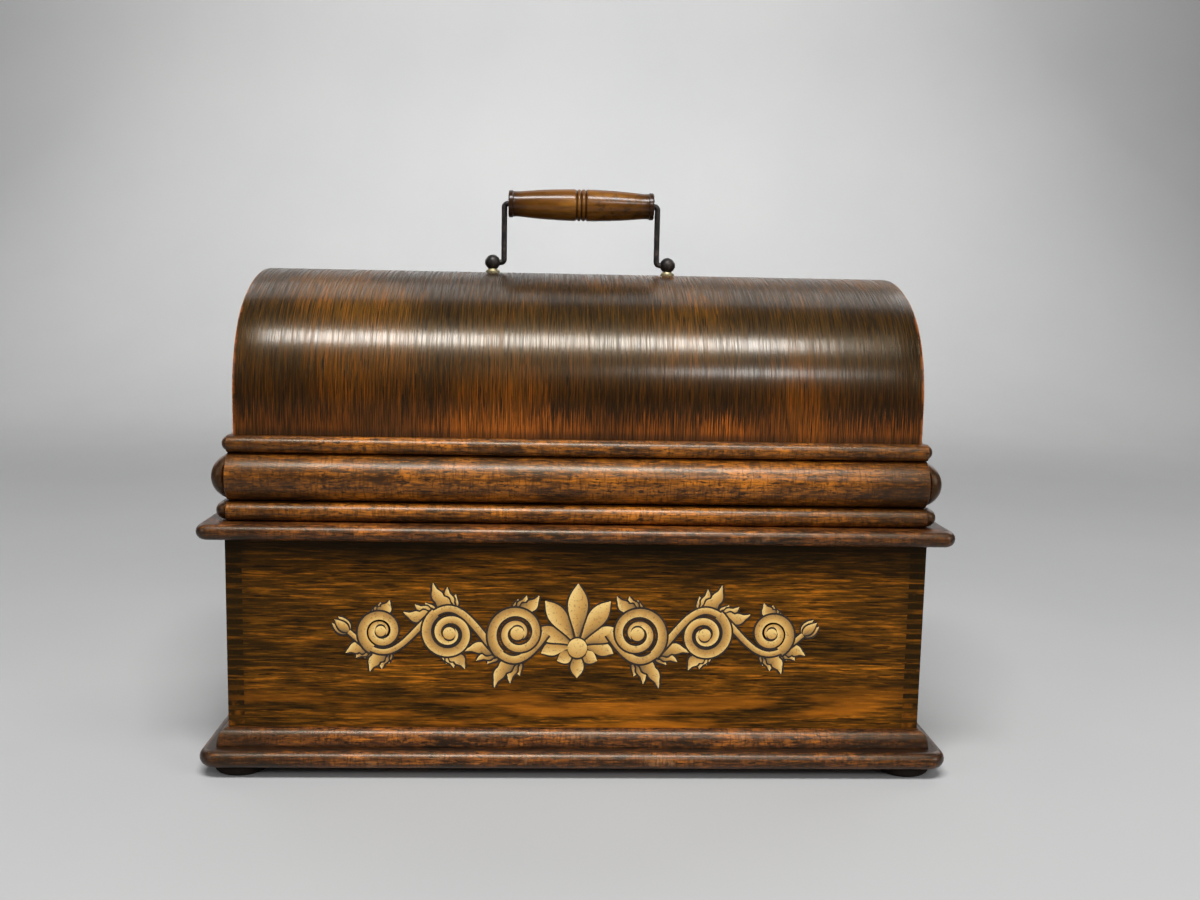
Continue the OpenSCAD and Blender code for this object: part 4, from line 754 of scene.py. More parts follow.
def japan_finish(name, box=None, inset=0.0):
    """Black stoving enamel: slightly brown where thin, with orange peel and dust.

    A plate's box adds a thin gold line on its top, at the same inset from all its edges.
    """
    made = Finish(name, Coat_Weight=0.5, Coat_Roughness=0.08, Specular_IOR_Level=0.5)
    dust = made.noise(40.0, 5.0, 0.65)
    peel = made.noise(420.0, 2.0)
    black = made.ramp(dust, (0.3, srgb(16, 14, 13)), (0.55, srgb(24, 21, 18)),
                      (0.8, srgb(40, 35, 30)))
    if box:
        middle, half = (box[0] + box[1]) / 2.0, (box[1] - box[0]) / 2.0
        edges = []
        for number, label in enumerate("XY"):
            off = made.calc("SUBTRACT", made.axis(label), float(middle[number]))
            edges.append(made.calc("SUBTRACT", made.calc("ABSOLUTE", off),
                                   float(half[number] - inset)))
        away = made.calc("ABSOLUTE", made.calc("MAXIMUM", *edges))
        worn = made.times(made.level(away, 0.0006, 0.0004),
                          made.level(made.normal_axis("Z"), 0.8, 0.9),
                          made.level(dust, 0.66, 0.5))
        black = made.mix(worn, black, srgb(176, 138, 66))
    made.surface("Base Color", black)
    made.surface("Roughness", made.level(dust, 0.3, 0.75, 0.16, 0.34))
    made.bump(peel, 0.00005, 0.12)
    return made


def iron_finish():
    """Old blackened wire: brown-black with worn bright spots."""
    made = Finish("blackened wire", Metallic=0.55, Specular_IOR_Level=0.5)
    rust = made.noise(210.0, 5.0, 0.7)
    made.surface("Base Color", made.ramp(rust, (0.35, srgb(16, 14, 13)), (0.55, srgb(32, 27, 24)),
                                         (0.75, srgb(78, 66, 56))))
    made.surface("Roughness", made.level(rust, 0.3, 0.7, 0.32, 0.6))
    made.bump(rust, 0.00025, 0.4)
    return made


def leather_finish():
    """Flat leather belt: brown, worn paler in places, with fine pores."""
    made = Finish("belt leather", Specular_IOR_Level=0.35)
    pores = made.node("ShaderNodeTexVoronoi", {"Vector": made.scaled(900.0), "Scale": 1.0})
    wear = made.noise(50.0, 4.0)
    made.surface("Base Color", made.ramp(wear, (0.3, srgb(52, 28, 14)), (0.5, srgb(96, 56, 28)),
                                         (0.75, srgb(132, 86, 48))))
    made.surface("Roughness", made.level(wear, 0.3, 0.7, 0.45, 0.7))
    made.bump(pores.outputs["Distance"], 0.0002, 0.5)
    return made


def foot_finish():
    """Black stained feet: matt, with the wood's pores showing through."""
    made = Finish("foot stain", Specular_IOR_Level=0.1, Roughness=0.8)
    pores = made.noise((500.0, 500.0, 120.0), 4.0)
    made.surface("Base Color", made.mix(pores, srgb(12, 10, 9), srgb(40, 32, 26)))
    made.bump(pores, 0.0002, 0.4)
    return made


def gilt_finish(tones):
    """Cream-gold transfer: brown to cream by its shade attribute, rubbed and lightly crazed."""
    made = Finish("gilt transfer", Coat_Weight=0.4, Coat_Roughness=0.2)
    cloud = made.noise(70.0, 5.0, 0.65)
    fine = made.noise(900.0, 2.0)
    body = made.ramp(made.painted("shade"), (0.0, share_of(tones.ornament_gold, 0.3)),
                     (0.45, tones.ornament_gold), (0.9, tones.ornament_cream))
    body = made.mix(made.level(cloud, 0.52, 0.74, 0.0, 0.6), body, tones.panel_light)
    body = made.mix(made.level(fine, 0.58, 0.7, 0.0, 0.5), body, tones.panel_mid)
    made.surface("Base Color", body)
    made.surface("Roughness", made.level(cloud, 0.3, 0.7, 0.35, 0.6))
    return made


def outline_finish(tones):
    """Dark line under the gilding."""
    made = Finish("transfer outline", Specular_IOR_Level=0.4)
    cloud = made.noise(160.0, 4.0)
    made.surface("Base Color", made.mix(made.level(cloud, 0.5, 0.8, 0.0, 0.6), tones.ornament_line,
                                        tones.panel_mid))
    made.surface("Roughness", made.level(cloud, 0.3, 0.7, 0.4, 0.6))
    return made


class OBJECT_OT_phonograph_stage(bpy.types.Operator):
    """Camera at the photograph's place, pale floor and soft studio light."""

    bl_idname = "phonograph.stage"
    bl_label = "Stage"

    def execute(self, context):
        scene = context.scene
        scene.view_settings.view_transform = "Standard"
        self.camera(context)
        self.floor(context)
        for name, settings in LAMPS.items():
            self.lamp(context, name, *settings)
        world = bpy.data.worlds.new("studio")
        world.use_nodes = True
        sky = world.node_tree.nodes["Background"]
        sky.inputs["Color"].default_value = SKY
        sky.inputs["Strength"].default_value = SKY_STRENGTH
        scene.world = world
        return {"FINISHED"}

    def set_axes(self, made, right, up, back, place):
        """Turns an object to three axes and puts it in its place."""
        turn = Matrix.Identity(4)
        for number, column in enumerate((right, up, back, place)):
            turn.col[number][:3] = column
        made.matrix_world = turn

    def camera(self, context):
        """Camera that looks along yaw and pitch, and leans by roll about its own line of sight."""
        yaw, pitch, roll = CAMERA_TURN
        forward = np.array([math.sin(yaw) * math.cos(pitch), math.cos(yaw) * math.cos(pitch),
                            math.sin(pitch)])
        right = np.array([math.cos(yaw), -math.sin(yaw), 0.0])
        up = np.cross(right, forward)
        seen = bpy.data.cameras.new("camera")
        seen.lens = CAMERA_LENS
        seen.sensor_width = SENSOR_W
        seen.sensor_fit = "HORIZONTAL"
        camera = bpy.data.objects.new("camera", seen)
        self.set_axes(camera, math.cos(roll) * right + math.sin(roll) * up,
                      math.cos(roll) * up - math.sin(roll) * right, -forward, CAMERA_PLACE)
        context.collection.objects.link(camera)
        context.scene.camera = camera

    def lamp(self, context, name, place, target, size, watts, spread):
        """A soft rectangle that looks at a point, within a spread in degrees."""
        light = bpy.data.lights.new(name, "AREA")
        light.shape = "RECTANGLE"
        light.size, light.size_y = size
        light.energy = watts
        light.spread = math.radians(spread)
        made = bpy.data.objects.new(name, light)
        aim = np.array(place) - np.array(target)
        aim = aim / np.linalg.norm(aim)
        across = np.cross([0.0, 0.0, 1.0], aim)
        across = across / np.linalg.norm(across)
        self.set_axes(made, across, np.cross(aim, across), aim, place)
        context.collection.objects.link(made)

    def floor(self, context):
        """Floor that curves up behind into a backdrop: flat, a quarter round, then a wall."""
        bend = 0.9
        behind = 1.5
        half_w, front, top = 5.0, -4.0, 4.0
        turn = np.radians(np.linspace(-90.0, 0.0, 24))
        y = np.concatenate([[front], behind + bend * np.cos(turn), [behind + bend]])
        z = np.concatenate([[0.0], bend + bend * np.sin(turn), [top]])
        x = np.array([[-half_w], [half_w]])
        vertices, faces = sheet(np.stack(np.broadcast_arrays(x, y, z), axis=-1))
        mesh = bpy.data.meshes.new("floor")
        mesh.from_pydata(vertices.tolist(), [], faces)
        mesh.shade_smooth()
        made = Finish("studio paper", Roughness=0.9, Specular_IOR_Level=0.1)
        made.surface("Base Color", made.mix(made.noise(3.0), *PAPER))
        mesh.materials.append(made.material)
        floor = bpy.data.objects.new("floor", mesh)
        context.collection.objects.link(floor)


class OBJECT_OT_phonograph_lid(bpy.types.Operator):
    """Bent dome, end boards and the lid's bead, half round and bead."""

    bl_idname = "phonograph.lid"
    bl_label = "Lid"

    def execute(self, context):
        sizes = context.scene.phonograph_sizes
        tones = context.scene.phonograph_colours
        piece("lid_dome_veneer", [bent_dome(sizes)], dome_finish(tones), "lid",
              ["lid_dome"], sharp=50.0)
        half_w, half_d = corners("lid_dome")[1][:2]
        long_end = corners("lid_long_mouldings")[1][0] + sizes.front_lap
        self.runs(context, "lid_long_mouldings", "X", half_d, (long_end, 0.0, FRONT_EASE))
        self.runs(context, "lid_end_mouldings", "Y", half_w,
                  (half_d - sizes.return_in, 1.0, RETURN_EASE))
        dress(panel_finish("lid end oak", "Y", tones, False), "lid_ends")
        dress(plain_wood_finish(tones), "lid_rails")
        return {"FINISHED"}

    def runs(self, context, node, grain, offset, run):
        """The runs on two facing sides; run is their half length, end slope and end round."""
        sizes = context.scene.phonograph_sizes
        tones = context.scene.phonograph_colours
        shades = (tones.moulding_dark, tones.moulding_mid, tones.moulding_light)
        finish = moulding_finish("lid moulding " + grain.lower(), grain, shades, tones, 0.0)
        base = corners(node)[0][2]
        parts = []
        quirk = []
        nose = []
        for side in SIDES[grain]:
            for outline in lid_moulding_outline(sizes):
                along, out, height = moulding_run(outline, *run)
                parts.append(bar(quarter(side, along, out, height, offset, base)))
                middle = out[len(out) // 2] / np.max(outline[:, 0])
                depth = np.broadcast_to(np.clip(middle, 0.0, 1.0), out.shape)
                # Quirk: dirt and painted shade between the beads; nose: wear on their fronts
                quirk.append(np.clip(1.0 - depth / LID_QUIRK, 0.0, 1.0).ravel())
                nose.append(wear_paint(depth, LID_NOSE, 1.0).ravel())
        piece(node + "_run", parts, finish, "lid", [node],
              paint={"quirk": np.concatenate(quirk), "nose": np.concatenate(nose)})


class OBJECT_OT_phonograph_case(bpy.types.Operator):
    """Comb-jointed panels, rim and plinth frames, bottom board and feet."""

    bl_idname = "phonograph.case"
    bl_label = "Case"

    def execute(self, context):
        tones = context.scene.phonograph_colours
        dress(panel_finish("front and back oak", "X", tones), "long_panels")
        dress(panel_finish("end oak", "Y", tones), "end_panels")
        dress(plain_wood_finish(tones), "bottom_board", "bed_rails")
        dress(foot_finish(), "feet")
        self.runs(context, "plinth", "plinth_long_mouldings", "X")
        self.runs(context, "plinth", "plinth_end_mouldings", "Y")
        self.runs(context, "rim", "rim_long_boards", "X")
        self.runs(context, "rim", "rim_end_boards", "Y")
        return {"FINISHED"}

    def runs(self, context, label, node, grain):
        """The plinth's or the rim's runs on two facing sides, mitred at the corners."""
        sizes = context.scene.phonograph_sizes
        tones = context.scene.phonograph_colours
        shades = (tones.rim_dark, tones.rim_mid, tones.rim_light)
        low, high = corners(node)
        half_w, half_d = corners("long_panels")[1][:2]
        halves = (half_w, half_d) if grain == "X" else (half_d, half_w)
        reach = high["YX".index(grain)] - halves[1]
        tall = high[2] - low[2]
        plinth = label == "plinth"
        if plinth:
            outline = plinth_outline(sizes, tall, reach)
            corner = sizes.plinth_corner_r
        else:
            outline = rim_outline(tall, reach, half_d - corners("bottom_board")[1][1])
            corner = sizes.rim_corner_r
        along, out, height = framed_side(outline, *halves, reach, corner)
        parts = [bar(quarter(side, along, out, height, halves[1], low[2])) for side in SIDES[grain]]
        quirk = np.zeros_like(out)
        nose = wear_paint(out, reach - NOSE_WEAR, reach)
        if plinth:
            # Dirt and painted shade on the ledge and at the foot of the round above it
            shoulder = reach - sizes.plinth_torus_h / 2.0
            off_ledge = np.hypot(np.maximum(out - shoulder, 0.0),
                                 np.abs(height - sizes.plinth_torus_h))
            quirk = np.clip(1.3 - off_ledge / LEDGE_DIRT_AND_SHADE, 0.0, 1.0)
            # A pale band on the upper round: wear and a painted highlight together
            crown = sizes.plinth_torus_h + CROWN_SHARE * sizes.plinth_round_h
            nose = np.maximum(nose, np.exp(-((height - crown) / CROWN_W) ** 2))
        finish = moulding_finish(label + " oak " + grain.lower(), grain, shades, tones)
        piece(node + "_run", parts, finish, "case", [node],
              paint={"quirk": np.tile(quirk.ravel(), 2), "nose": np.tile(nose.ravel(), 2)})


def wire(path, radius, steps=16):
    """Round wire along a path in the XZ plane: a circle in the plane of each path normal and Y."""
    path = np.array(path)
    lead = np.gradient(path, axis=0)
    lead = lead / np.linalg.norm(lead, axis=1)[:, None]
    normal = np.stack([-lead[:, 1], lead[:, 0]], axis=1)
    turn = np.linspace(0.0, TAU, steps, endpoint=False)
    flat = path[:, None, :] + radius * np.cos(turn)[None, :, None] * normal[:, None, :]
    y = np.broadcast_to(radius * np.sin(turn), flat.shape[:2])
    return bar(np.stack([flat[..., 0], y, flat[..., 1]], axis=-1))


def grip_profile(sizes, span, middle, end, collar):
    """Radius of the turned grip along its axis: a barrel arc, three grooves and flared collars.

    Returns radius, place along the axis and how deep in a groove or quirk each point is.
    """
    collar_w, groove_w, groove_depth = 0.003, 0.0006, 0.0008
    flare_w, lip, edge = 0.005, 0.0005, 0.0008
    half = span / 2.0 - collar_w
    sag = middle - end
    belly = (half ** 2 + sag ** 2) / (2.0 * sag)
    x = np.linspace(-half, half, 241)
    radius = middle - belly + np.sqrt(belly ** 2 - x ** 2)
    dip = np.zeros_like(x)
    for spot in (-1.0, 0.0, 1.0):
        dip = np.maximum(dip, np.exp(-((x - spot * sizes.groove_pitch) / groove_w) ** 2))
    near_end = 0.9 * np.exp(-((np.abs(x) - half) / 0.0009) ** 2)
    flare = wear_paint(np.abs(x), half - flare_w, half) ** 2
    radius = radius - groove_depth * dip + (collar - end - lip) * flare
    turn = np.radians(np.linspace(0.0, 90.0, 6))
    end_r = np.concatenate([[0.0004], collar - edge + edge * np.sin(turn),
                            [collar, collar - 0.0004]])
    end_x = np.concatenate([[span / 2.0], span / 2.0 - edge + edge * np.cos(turn),
                            [half + 0.0004, half + 0.0001]])
    all_r = np.concatenate([end_r, radius, end_r[::-1]])
    all_x = np.concatenate([-end_x, x, end_x[::-1]])
    # Darker towards the grip's ends
    darker_ends = wear_paint(np.abs(x), 0.80 * half, half) * 0.8
    depth = np.maximum(np.maximum(dip, near_end), darker_ends)
    ends = np.full(len(end_r), 0.85)
    return all_r, all_x, np.concatenate([ends, depth, ends])


class OBJECT_OT_phonograph_handle(bpy.types.Operator):
    """Turned grip on its wire bail, ball heads and collars."""

    bl_idname = "phonograph.handle"
    bl_label = "Handle"

    def execute(self, context):
        sizes = context.scene.phonograph_sizes
        low, high = corners("handle_grip")
        axis_z = (low[2] + high[2]) / 2.0
        middle = (high[2] - low[2]) / 2.0
        radius, along, depth = grip_profile(sizes, high[0] - low[0], middle, 0.749 * middle,
                                            0.851 * middle)
        steps = 72
        shape = turned(np.column_stack([radius, along]), ("X", (0.0, 0.0, axis_z)), steps)
        honey = turned_wood_finish(context.scene.phonograph_colours)
        piece("handle_grip_turned", [shape], honey, "handle", ["handle_grip"],
              paint={"quirk": np.repeat(depth, steps)}, sharp=45.0)
        self.bail(sizes, axis_z, high[0])
        self.collars(sizes)
        return {"FINISHED"}

    def bail(self, sizes, axis_z, grip_end):
        """Wire of each side: from its ball in, round a bend, up, round a bend and into the grip."""
        low, high = corners("handle_bail")
        thick = sizes.wire_d / 2.0
        bend = 0.6 * sizes.wire_d
        gap = 0.0005
        pivot = low[2] + thick
        leg = high[0] - sizes.ball_d - 0.0002 - bend
        start = np.column_stack([np.linspace(high[0], leg + bend + gap, 5), np.full(5, pivot)])
        low_bend = arc((leg + bend, pivot + bend), bend, 270.0, 180.0, 12)
        post = np.column_stack([np.full(8, leg),
                                np.linspace(pivot + bend + gap, axis_z - bend - gap, 8)])
        top_bend = arc((leg - bend, axis_z - bend), bend, 0.0, 90.0, 12)
        into = np.column_stack([np.linspace(leg - bend - 0.0002, grip_end - 0.004, 4),
                                np.full(4, axis_z)])
        path = np.concatenate([start, low_bend, post, top_bend, into])
        iron = iron_finish()
        both = [wire(path, thick), wire(path * np.array([-1.0, 1.0]), thick)]
        piece("handle_bail_wire", both, iron, "handle", ["handle_bail"], sharp=60.0)
        dress(iron, "handle_posts")

    def collars(self, sizes):
        """Brass collars: a low foot and a neck that reaches the ball, bored for the post."""
        brass = metal_finish("collar brass", srgb(158, 148, 116), srgb(90, 78, 52), (0.35, 0.55))
        low, high = corners("handle_collars")
        post_x = high[0] - (high[1] - low[1]) / 2.0
        top = corners("handle_posts")[1][2] - sizes.ball_d
        bore = sizes.collar_bore_d / 2.0
        neck = sizes.collar_neck_d / 2.0
        base = sizes.collar_base_d / 2.0
        foot = low[2]
        profile = [(bore, foot), (base, foot), (base, foot + 0.0009),
                   (base - 0.0003, foot + 0.0013), (neck + 0.0003, foot + 0.0014),
                   (neck, foot + 0.0018), (neck, top + 0.0003), (neck - 0.0003, top + 0.0007),
                   (bore, top + 0.0007)]
        both = [turned(profile, ("Z", (way * post_x, 0.0, 0.0)), 40, ring=True)
                for way in (-1.0, 1.0)]
        piece("handle_collars_turned", both, brass, "lid", ["handle_collars"])


def painted_strip(path, width, tone, lift, face_y):
    """A flat painted strip on the front panel along a path of (x, z) points.

    Across it s runs from -1 to 1 and its shade is tone + 0.3 s; it stands off the panel by lift
    and its back lies inside the panel. Returns the strip and its shade at every point.
    """
    lead = np.gradient(path, axis=0)
    lead = lead / np.maximum(np.linalg.norm(lead, axis=1), 1e-9)[:, None]
    normal = np.stack([-lead[:, 1], lead[:, 0]], axis=1)
    s = np.array([-1.0, -0.34, 0.34, 1.0])
    flat = path[:, None, :] + (width[:, None] / 2.0 * s)[..., None] * normal[:, None, :]
    level = np.full(flat.shape[:2], face_y - lift)
    front = np.stack([flat[..., 0], level, flat[..., 1]], axis=-1)
    back = front[:, [-1, 0], :].copy()
    back[..., 1] = face_y + SCROLL_SINK
    shade = np.clip(tone[:, None] + 0.3 * s[[0, 1, 2, 3, 3, 0]], 0.0, 1.0)
    return bar(np.concatenate([front, back], axis=1)), shade.ravel()


def leaf(base, heading, long, wide, bend, swell=0.75, lobes=0.0, steps=28):
    """Leaf on a path that turns steadily by bend, brown at its foot and cream at its tip.

    Its width is sin(pi t^swell), notched between its lobes. Returns path, width and tone.
    """
    t = np.linspace(0.0, 1.0, steps)
    turn = np.radians(heading + bend * t)
    walk = np.column_stack([np.cos(turn), np.sin(turn)]) * long / (steps - 1)
    path = np.array(base) + np.concatenate([[[0.0, 0.0]], np.cumsum(walk[:-1], axis=0)])
    notch = 0.72 + 0.28 * np.abs(np.cos(math.pi * lobes * t))
    return path, wide * notch * np.maximum(np.sin(math.pi * t ** swell), 0.06), 0.08 + 0.75 * t


def volute(start, heading, way, wide_r, sweep, wide, steps=72):
    """Scroll that leaves a stem tangentially and winds in, to the left for way 1.

    Its radius falls from wide_r to a fifth as the angle sweeps. Returns its strip and centre.
    """
    t = np.linspace(0.0, 1.0, steps)
    side = math.radians(heading + 90.0 * way)
    centre = np.array(start) + wide_r * np.array([math.cos(side), math.sin(side)])
    angle = side + math.pi + way * np.radians(sweep) * t
    radius = wide_r * (1.0 - 0.80 * t ** 0.9)
    path = centre + radius[:, None] * np.column_stack([np.cos(angle), np.sin(angle)])
    return (path, wide * (1.0 - 0.5 * t), 0.38 + 0.4 * t), centre


def bud(centre, size, steps=14):
    """Small round berry, drawn as a short strip whose width follows a circle."""
    t = np.linspace(-0.98, 0.98, steps)
    path = np.array(centre) + np.column_stack([size * t, np.zeros(steps)])
    return path, 2.0 * size * np.sqrt(1.0 - t ** 2), np.full(steps, 0.7)


def headings(path):
    """Direction of a path at each of its points, in degrees."""
    lead = np.gradient(path, axis=0)
    return np.degrees(np.arctan2(lead[:, 1], lead[:, 0]))


def spray(base, heading, way, long):
    """One lobed leaf that follows a stem and two smaller ones behind it.

    All of them curl to one side.
    """
    fan = ((1, 62.0, 0.44, 0.0052, 36.0, 0.0), (2, 32.0, 0.68, 0.0064, 50.0, 2.0),
           (3, 4.0, 1.0, 0.0078, 64.0, 3.0))
    return [(tier, *leaf(base, heading + way * turn, long * share, wide, bend * way, lobes=lobes))
            for tier, turn, share, wide, bend, lobes in fan]


def scroll_strips(w, h):
    """Right half of a leaf scroll: a wave stem, a volute in each of its bays, sprays and buds.

    Each strip is its tier, path, width and tone; a higher tier lies over a lower one.
    """
    t = np.linspace(0.0, 1.0, 181)
    reach = w / 2.0
    x = 0.13 * reach + 0.80 * reach * t
    stem = np.column_stack([x, -0.27 * h * (1.0 - 0.38 * t) * np.sin(3.0 * math.pi * t)])
    lean = headings(stem)
    strips = [(4, stem, 0.0044 - 0.0020 * t, np.full(181, 0.5))]
    bays = [(0.235, 1.0, 0.25, 0.14), (0.565, -1.0, 0.225, 0.47), (0.885, 1.0, 0.185, 0.80)]
    for leave, way, size, belly in bays:
        spot = int(leave * 180)
        scroll, centre = volute(stem[spot], lean[spot], way, size * h, 640.0, 0.0052)
        strips.append((5, *scroll))
        strips.append((6, *bud(centre, 0.014 * size + 0.0004)))
        strips += spray(stem[spot], lean[spot], -way, 1.35 * size * h)
        low = int(belly * 180)
        strips += spray(stem[low], lean[low], -way, 1.45 * size * h)
        top = 15
        strips += spray(scroll[0][top], headings(scroll[0])[top], -way, 1.1 * size * h)
    for tier, turn in ((2, -34.0), (2, 34.0), (3, 0.0)):
        strips.append((tier, *leaf(stem[-1], lean[-1] + turn, 0.0105, 0.0048, -1.2 * turn)))
    return strips


def palmette_strips(h):
    """Middle of the scroll: a fan of round-tipped petals, three that hang and a tie of one bud."""
    foot = (0.0, -0.14 * h)
    fan = [(1, 78.0, 0.34, 0.0080), (2, 54.0, 0.43, 0.0092), (3, 27.0, 0.53, 0.0100)]
    strips = [(4, *leaf(foot, 90.0, 0.60 * h, 0.0112, 0.0, 1.7))]
    for tier, lean, share, wide in fan:
        for way in (-1.0, 1.0):
            strips.append((tier, *leaf(foot, 90.0 + way * lean, share * h, wide,
                                       0.55 * way * lean, 1.7)))
    for tier, lean, share in ((1, -44.0, 0.22), (1, 44.0, 0.22), (2, 0.0, 0.28)):
        strips.append((tier, *leaf(foot, -90.0 + lean, share * h, 0.0074, 0.6 * lean, 1.5)))
    strips.append((6, *bud(foot, 0.0056)))
    return strips


class OBJECT_OT_phonograph_ornament(bpy.types.Operator):
    """Gilt leaf scroll on the front of the case."""

    bl_idname = "phonograph.ornament"
    bl_label = "Ornament"

    def execute(self, context):
        sizes = context.scene.phonograph_sizes
        tones = context.scene.phonograph_colours
        face_y = corners("long_panels")[0][1]
        strips = palmette_strips(sizes.ornament_h)
        for tier, path, width, tone in scroll_strips(sizes.ornament_w, sizes.ornament_h):
            strips.append((tier, path, width, tone))
            strips.append((tier, path[::-1] * np.array([-1.0, 1.0]), width[::-1], tone[::-1]))
        gilt, shades = self.painted(strips, 0.0, GILT_LIFT, face_y)
        dark, _ = self.painted(strips, sizes.outline_w, OUTLINE_LIFT, face_y)
        piece("front_scroll_gilt", gilt, gilt_finish(tones), "case",
              paint={"shade": np.concatenate(shades)}, sharp=70.0)
        piece("front_scroll_outline", dark, outline_finish(tones), "case", sharp=70.0)
        return {"FINISHED"}

    def painted(self, strips, wider, lift, face_y):
        """All strips in one paint: their shapes, and the shade at their points."""
        made = [painted_strip(path + SCROLL_MIDDLE, width + wider, tone, lift + TIER_LIFT * tier,
                              face_y) for tier, path, width, tone in strips]
        return zip(*made)


def grooved_finish(name, bright, dull):
    """Turned metal with old oil in its thread or knurl, which the quirk attribute marks."""
    made = Finish(name, Metallic=1.0)
    marks = made.noise(80.0, 5.0, 0.65)
    base = made.mix(made.level(marks, 0.48, 0.72, 0.0, 0.5), bright, dull)
    oil = made.level(made.painted("quirk"), 0.3, 1.0, 0.0, 0.85)
    made.surface("Base Color", made.mix(oil, base, share_of(dull, 0.2)))
    made.surface("Roughness", made.level(marks, 0.3, 0.7, 0.2, 0.4))
    return made


def knob_profile(stem_r, stem_end, head_r, low, high, crown):
    """Radius and place of a knurled screw from its tip to the crown of its head.

    Returns the profile and which of its points the knurl cuts.
    """
    edge = 0.1 * head_r
    rim = high - crown
    points = [(POLE_R, low), (stem_r, low), (stem_r, stem_end), (head_r - edge, stem_end),
              (head_r, stem_end + edge), (head_r, rim - edge), (head_r - edge, rim),
              (0.64 * head_r, high - 0.2 * crown), (0.55 * head_r, high), (POLE_R, high)]
    return np.array(points), np.array([0, 0, 0, 0, 1, 1, 0, 0, 0, 0])


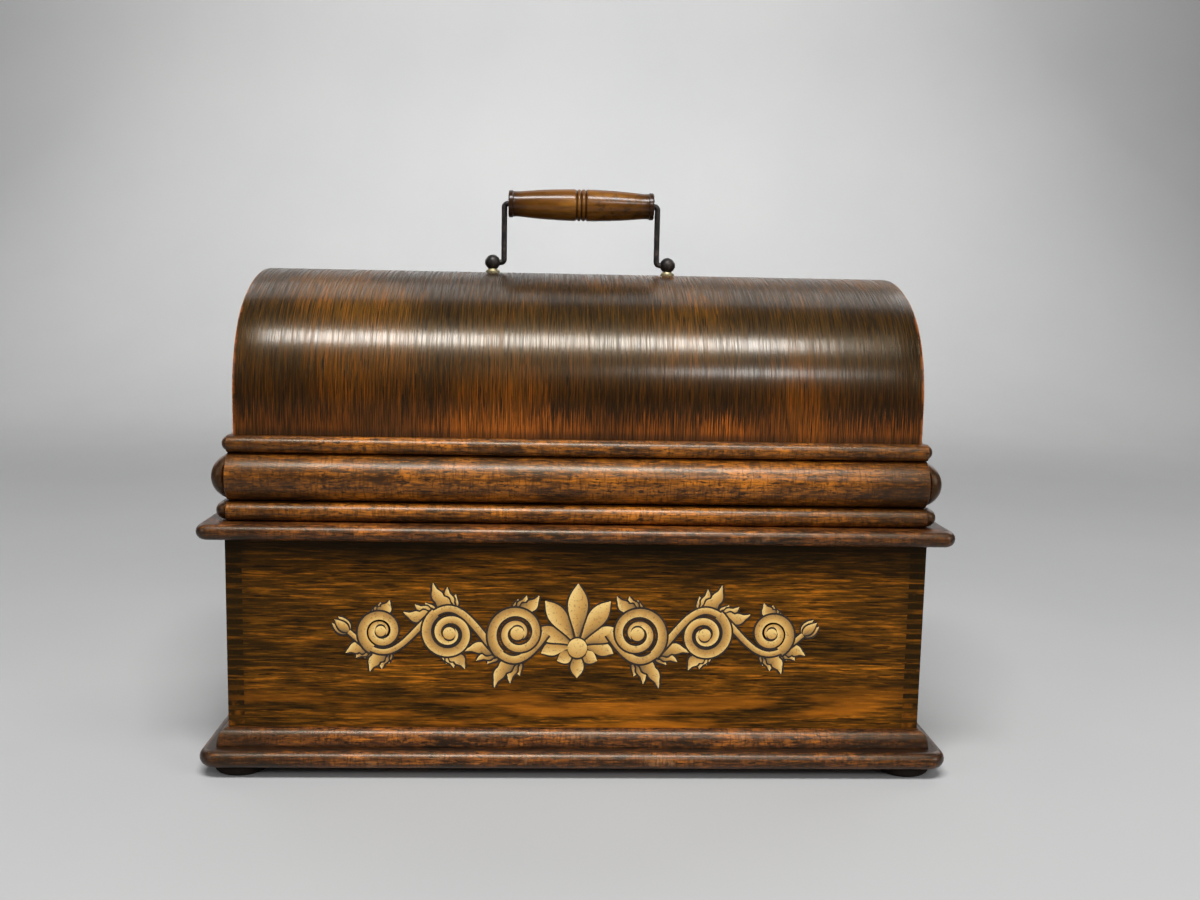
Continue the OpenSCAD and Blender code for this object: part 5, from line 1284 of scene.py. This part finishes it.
class OBJECT_OT_phonograph_works(bpy.types.Operator):
    """Bedplate, mandrel, carriage, reproducer and spring motor: finishes, thread and knurls."""

    bl_idname = "phonograph.works"
    bl_label = "Works"

    def execute(self, context):
        sizes = context.scene.phonograph_sizes
        yellow, old_yellow = srgb(212, 176, 104), srgb(128, 94, 44)
        grey, old_grey = srgb(186, 184, 180), srgb(104, 96, 88)
        nickel = metal_finish("nickel plate", srgb(206, 199, 186), srgb(150, 138, 120),
                              (0.16, 0.32), tarnish=0.3)
        drum = metal_finish("mandrel nickel", srgb(216, 208, 195), srgb(150, 140, 124),
                            (0.16, 0.32), spun=True)
        steel = metal_finish("bright steel", grey, old_grey, (0.22, 0.42))
        brass = metal_finish("works brass", yellow, old_yellow, (0.2, 0.42))
        wheel = metal_finish("wheel brass", srgb(208, 170, 96), srgb(132, 98, 48), (0.24, 0.44),
                             spun=True)
        japan = japan_finish("japanned iron")
        dress(japan, "bearing_caps", "motor_plates", "motor_hangers", "mandrel_pulley",
              "motor_pulley")
        dress(japan_finish("lined bedplate", corners("bedplate"), sizes.stripe_in), "bedplate")
        dress(nickel, "back_rod", "straight_edge", "carriage_arm", "lift_lever", "end_gate",
              "start_stop_lever")
        dress(drum, "mandrel")
        dress(steel, "bed_screws", "end_gate_pin", "motor_pillars", "speed_lever", "pulley_shaft",
              "first_arbor", "mainspring", "winding_shaft", "barrel_arbor", "ratchet_wheel",
              "ratchet_pawl", "nut_spring", "diaphragm", "stylus_bar")
        dress(brass, "crank_escutcheon", "carriage_bush", "half_nut", "reproducer_body",
              "reproducer_weight", "governor", "barrel_cover")
        dress(wheel, "third_wheel", "second_wheel", "spring_barrel", "winding_gear")
        dress(leather_finish(), "drive_belt")
        self.feed_screw(sizes)
        knurl = grooved_finish("knurled brass", yellow, old_yellow)
        self.knob("speed_screw", knurl, "speed_screw", "Z", sizes.speed_stem_d / 2.0, 0.008, 0.002)
        self.knob("clamp_screw", knurl, "carriage", "X", sizes.clamp_stem_d / 2.0, 0.005, 0.001)
        return {"FINISHED"}

    def feed_screw(self, sizes):
        """Mandrel shaft: plain journals, the threaded feed screw between its bearings, a centre."""
        low, high = corners("mandrel_shaft")
        caps_low, caps_high = corners("bearing_caps")
        middle = (low + high) / 2.0
        plain = sizes.shaft_d / 2.0
        feed = (high[2] - low[2]) / 2.0
        root = feed - 0.0006
        first = caps_low[0] + sizes.feed_in
        last = caps_high[0] - sizes.feed_in
        turns = np.arange(first, last, sizes.feed_pitch / 6.0)[3:-3]
        before = [(POLE_R, low[0]), (plain, low[0]), (plain, first), (root, first)]
        after = [(root, last), (plain, last), (plain, high[0]), (0.0024, high[0]),
                 (POLE_R, high[0] - 0.004)]
        thread = np.column_stack([np.full(len(turns), feed), turns])
        profile = np.concatenate([before, thread, after])
        depth = np.zeros(len(profile))
        depth[len(before):-len(after)] = THREAD_DEPTH
        steps = 32
        cut = ridges(depth, TAU * profile[:, 1] / sizes.feed_pitch, 1.0, steps)
        shape = turned(profile, ("X", (0.0, middle[1], middle[2])), steps, cut)
        oiled = grooved_finish("feed screw steel", srgb(188, 186, 182), srgb(104, 96, 88))
        piece("mandrel_shaft_threaded", [shape], oiled, "mandrel", ["mandrel_shaft"],
              paint={"quirk": cut / THREAD_DEPTH}, sharp=80.0)

    def knob(self, node, finish, body, axis, stem_r, head_h, crown):
        """A brass screw with a straight knurl round its head, in place of its plain solid."""
        low, high = corners(node)
        along = "XYZ".index(axis)
        middle = (low + high) / 2.0
        middle[along] = 0.0
        head_r = (high[1] - low[1]) / 2.0
        profile, cut_here = knob_profile(stem_r, high[along] - head_h, head_r, low[along],
                                         high[along], crown)
        steps = 144
        teeth = 36.0
        cut = ridges(KNURL_DEPTH * cut_here, np.zeros(len(profile)), teeth, steps)
        piece(node + "_knurled", [turned(profile, (axis, tuple(middle)), steps, cut)], finish, body,
              [node], paint={"quirk": cut / KNURL_DEPTH}, sharp=40.0)


class VIEW3D_PT_phonograph(bpy.types.Panel):
    """Sizes, colours and the steps that dress the phonograph."""

    bl_idname = "VIEW3D_PT_phonograph"
    bl_label = "Cylinder phonograph"
    bl_space_type = "VIEW_3D"
    bl_region_type = "UI"
    bl_category = "Phonograph"

    def draw(self, context):
        for step in STEPS:
            self.layout.operator(step.bl_idname)
        for group in (context.scene.phonograph_sizes, context.scene.phonograph_colours):
            for label in group.__annotations__:
                self.layout.prop(group, label)


STEPS = (OBJECT_OT_phonograph_stage, OBJECT_OT_phonograph_case, OBJECT_OT_phonograph_ornament,
         OBJECT_OT_phonograph_lid, OBJECT_OT_phonograph_handle, OBJECT_OT_phonograph_works)
CLASSES = (PhonographSizes, PhonographColours, *STEPS, VIEW3D_PT_phonograph)


def register():
    """Registers the classes and hangs both groups of properties on the scene."""
    for item in CLASSES:
        bpy.utils.register_class(item)
    bpy.types.Scene.phonograph_sizes = bpy.props.PointerProperty(type=PhonographSizes)
    bpy.types.Scene.phonograph_colours = bpy.props.PointerProperty(type=PhonographColours)


def unregister():
    """Takes away what register added."""
    del bpy.types.Scene.phonograph_colours
    del bpy.types.Scene.phonograph_sizes
    for item in reversed(CLASSES):
        bpy.utils.unregister_class(item)


def main():
    register()
    bpy.ops.phonograph.stage()
    bpy.ops.phonograph.case()
    bpy.ops.phonograph.ornament()
    bpy.ops.phonograph.lid()
    bpy.ops.phonograph.handle()
    bpy.ops.phonograph.works()


if __name__ == "__main__":
    main()
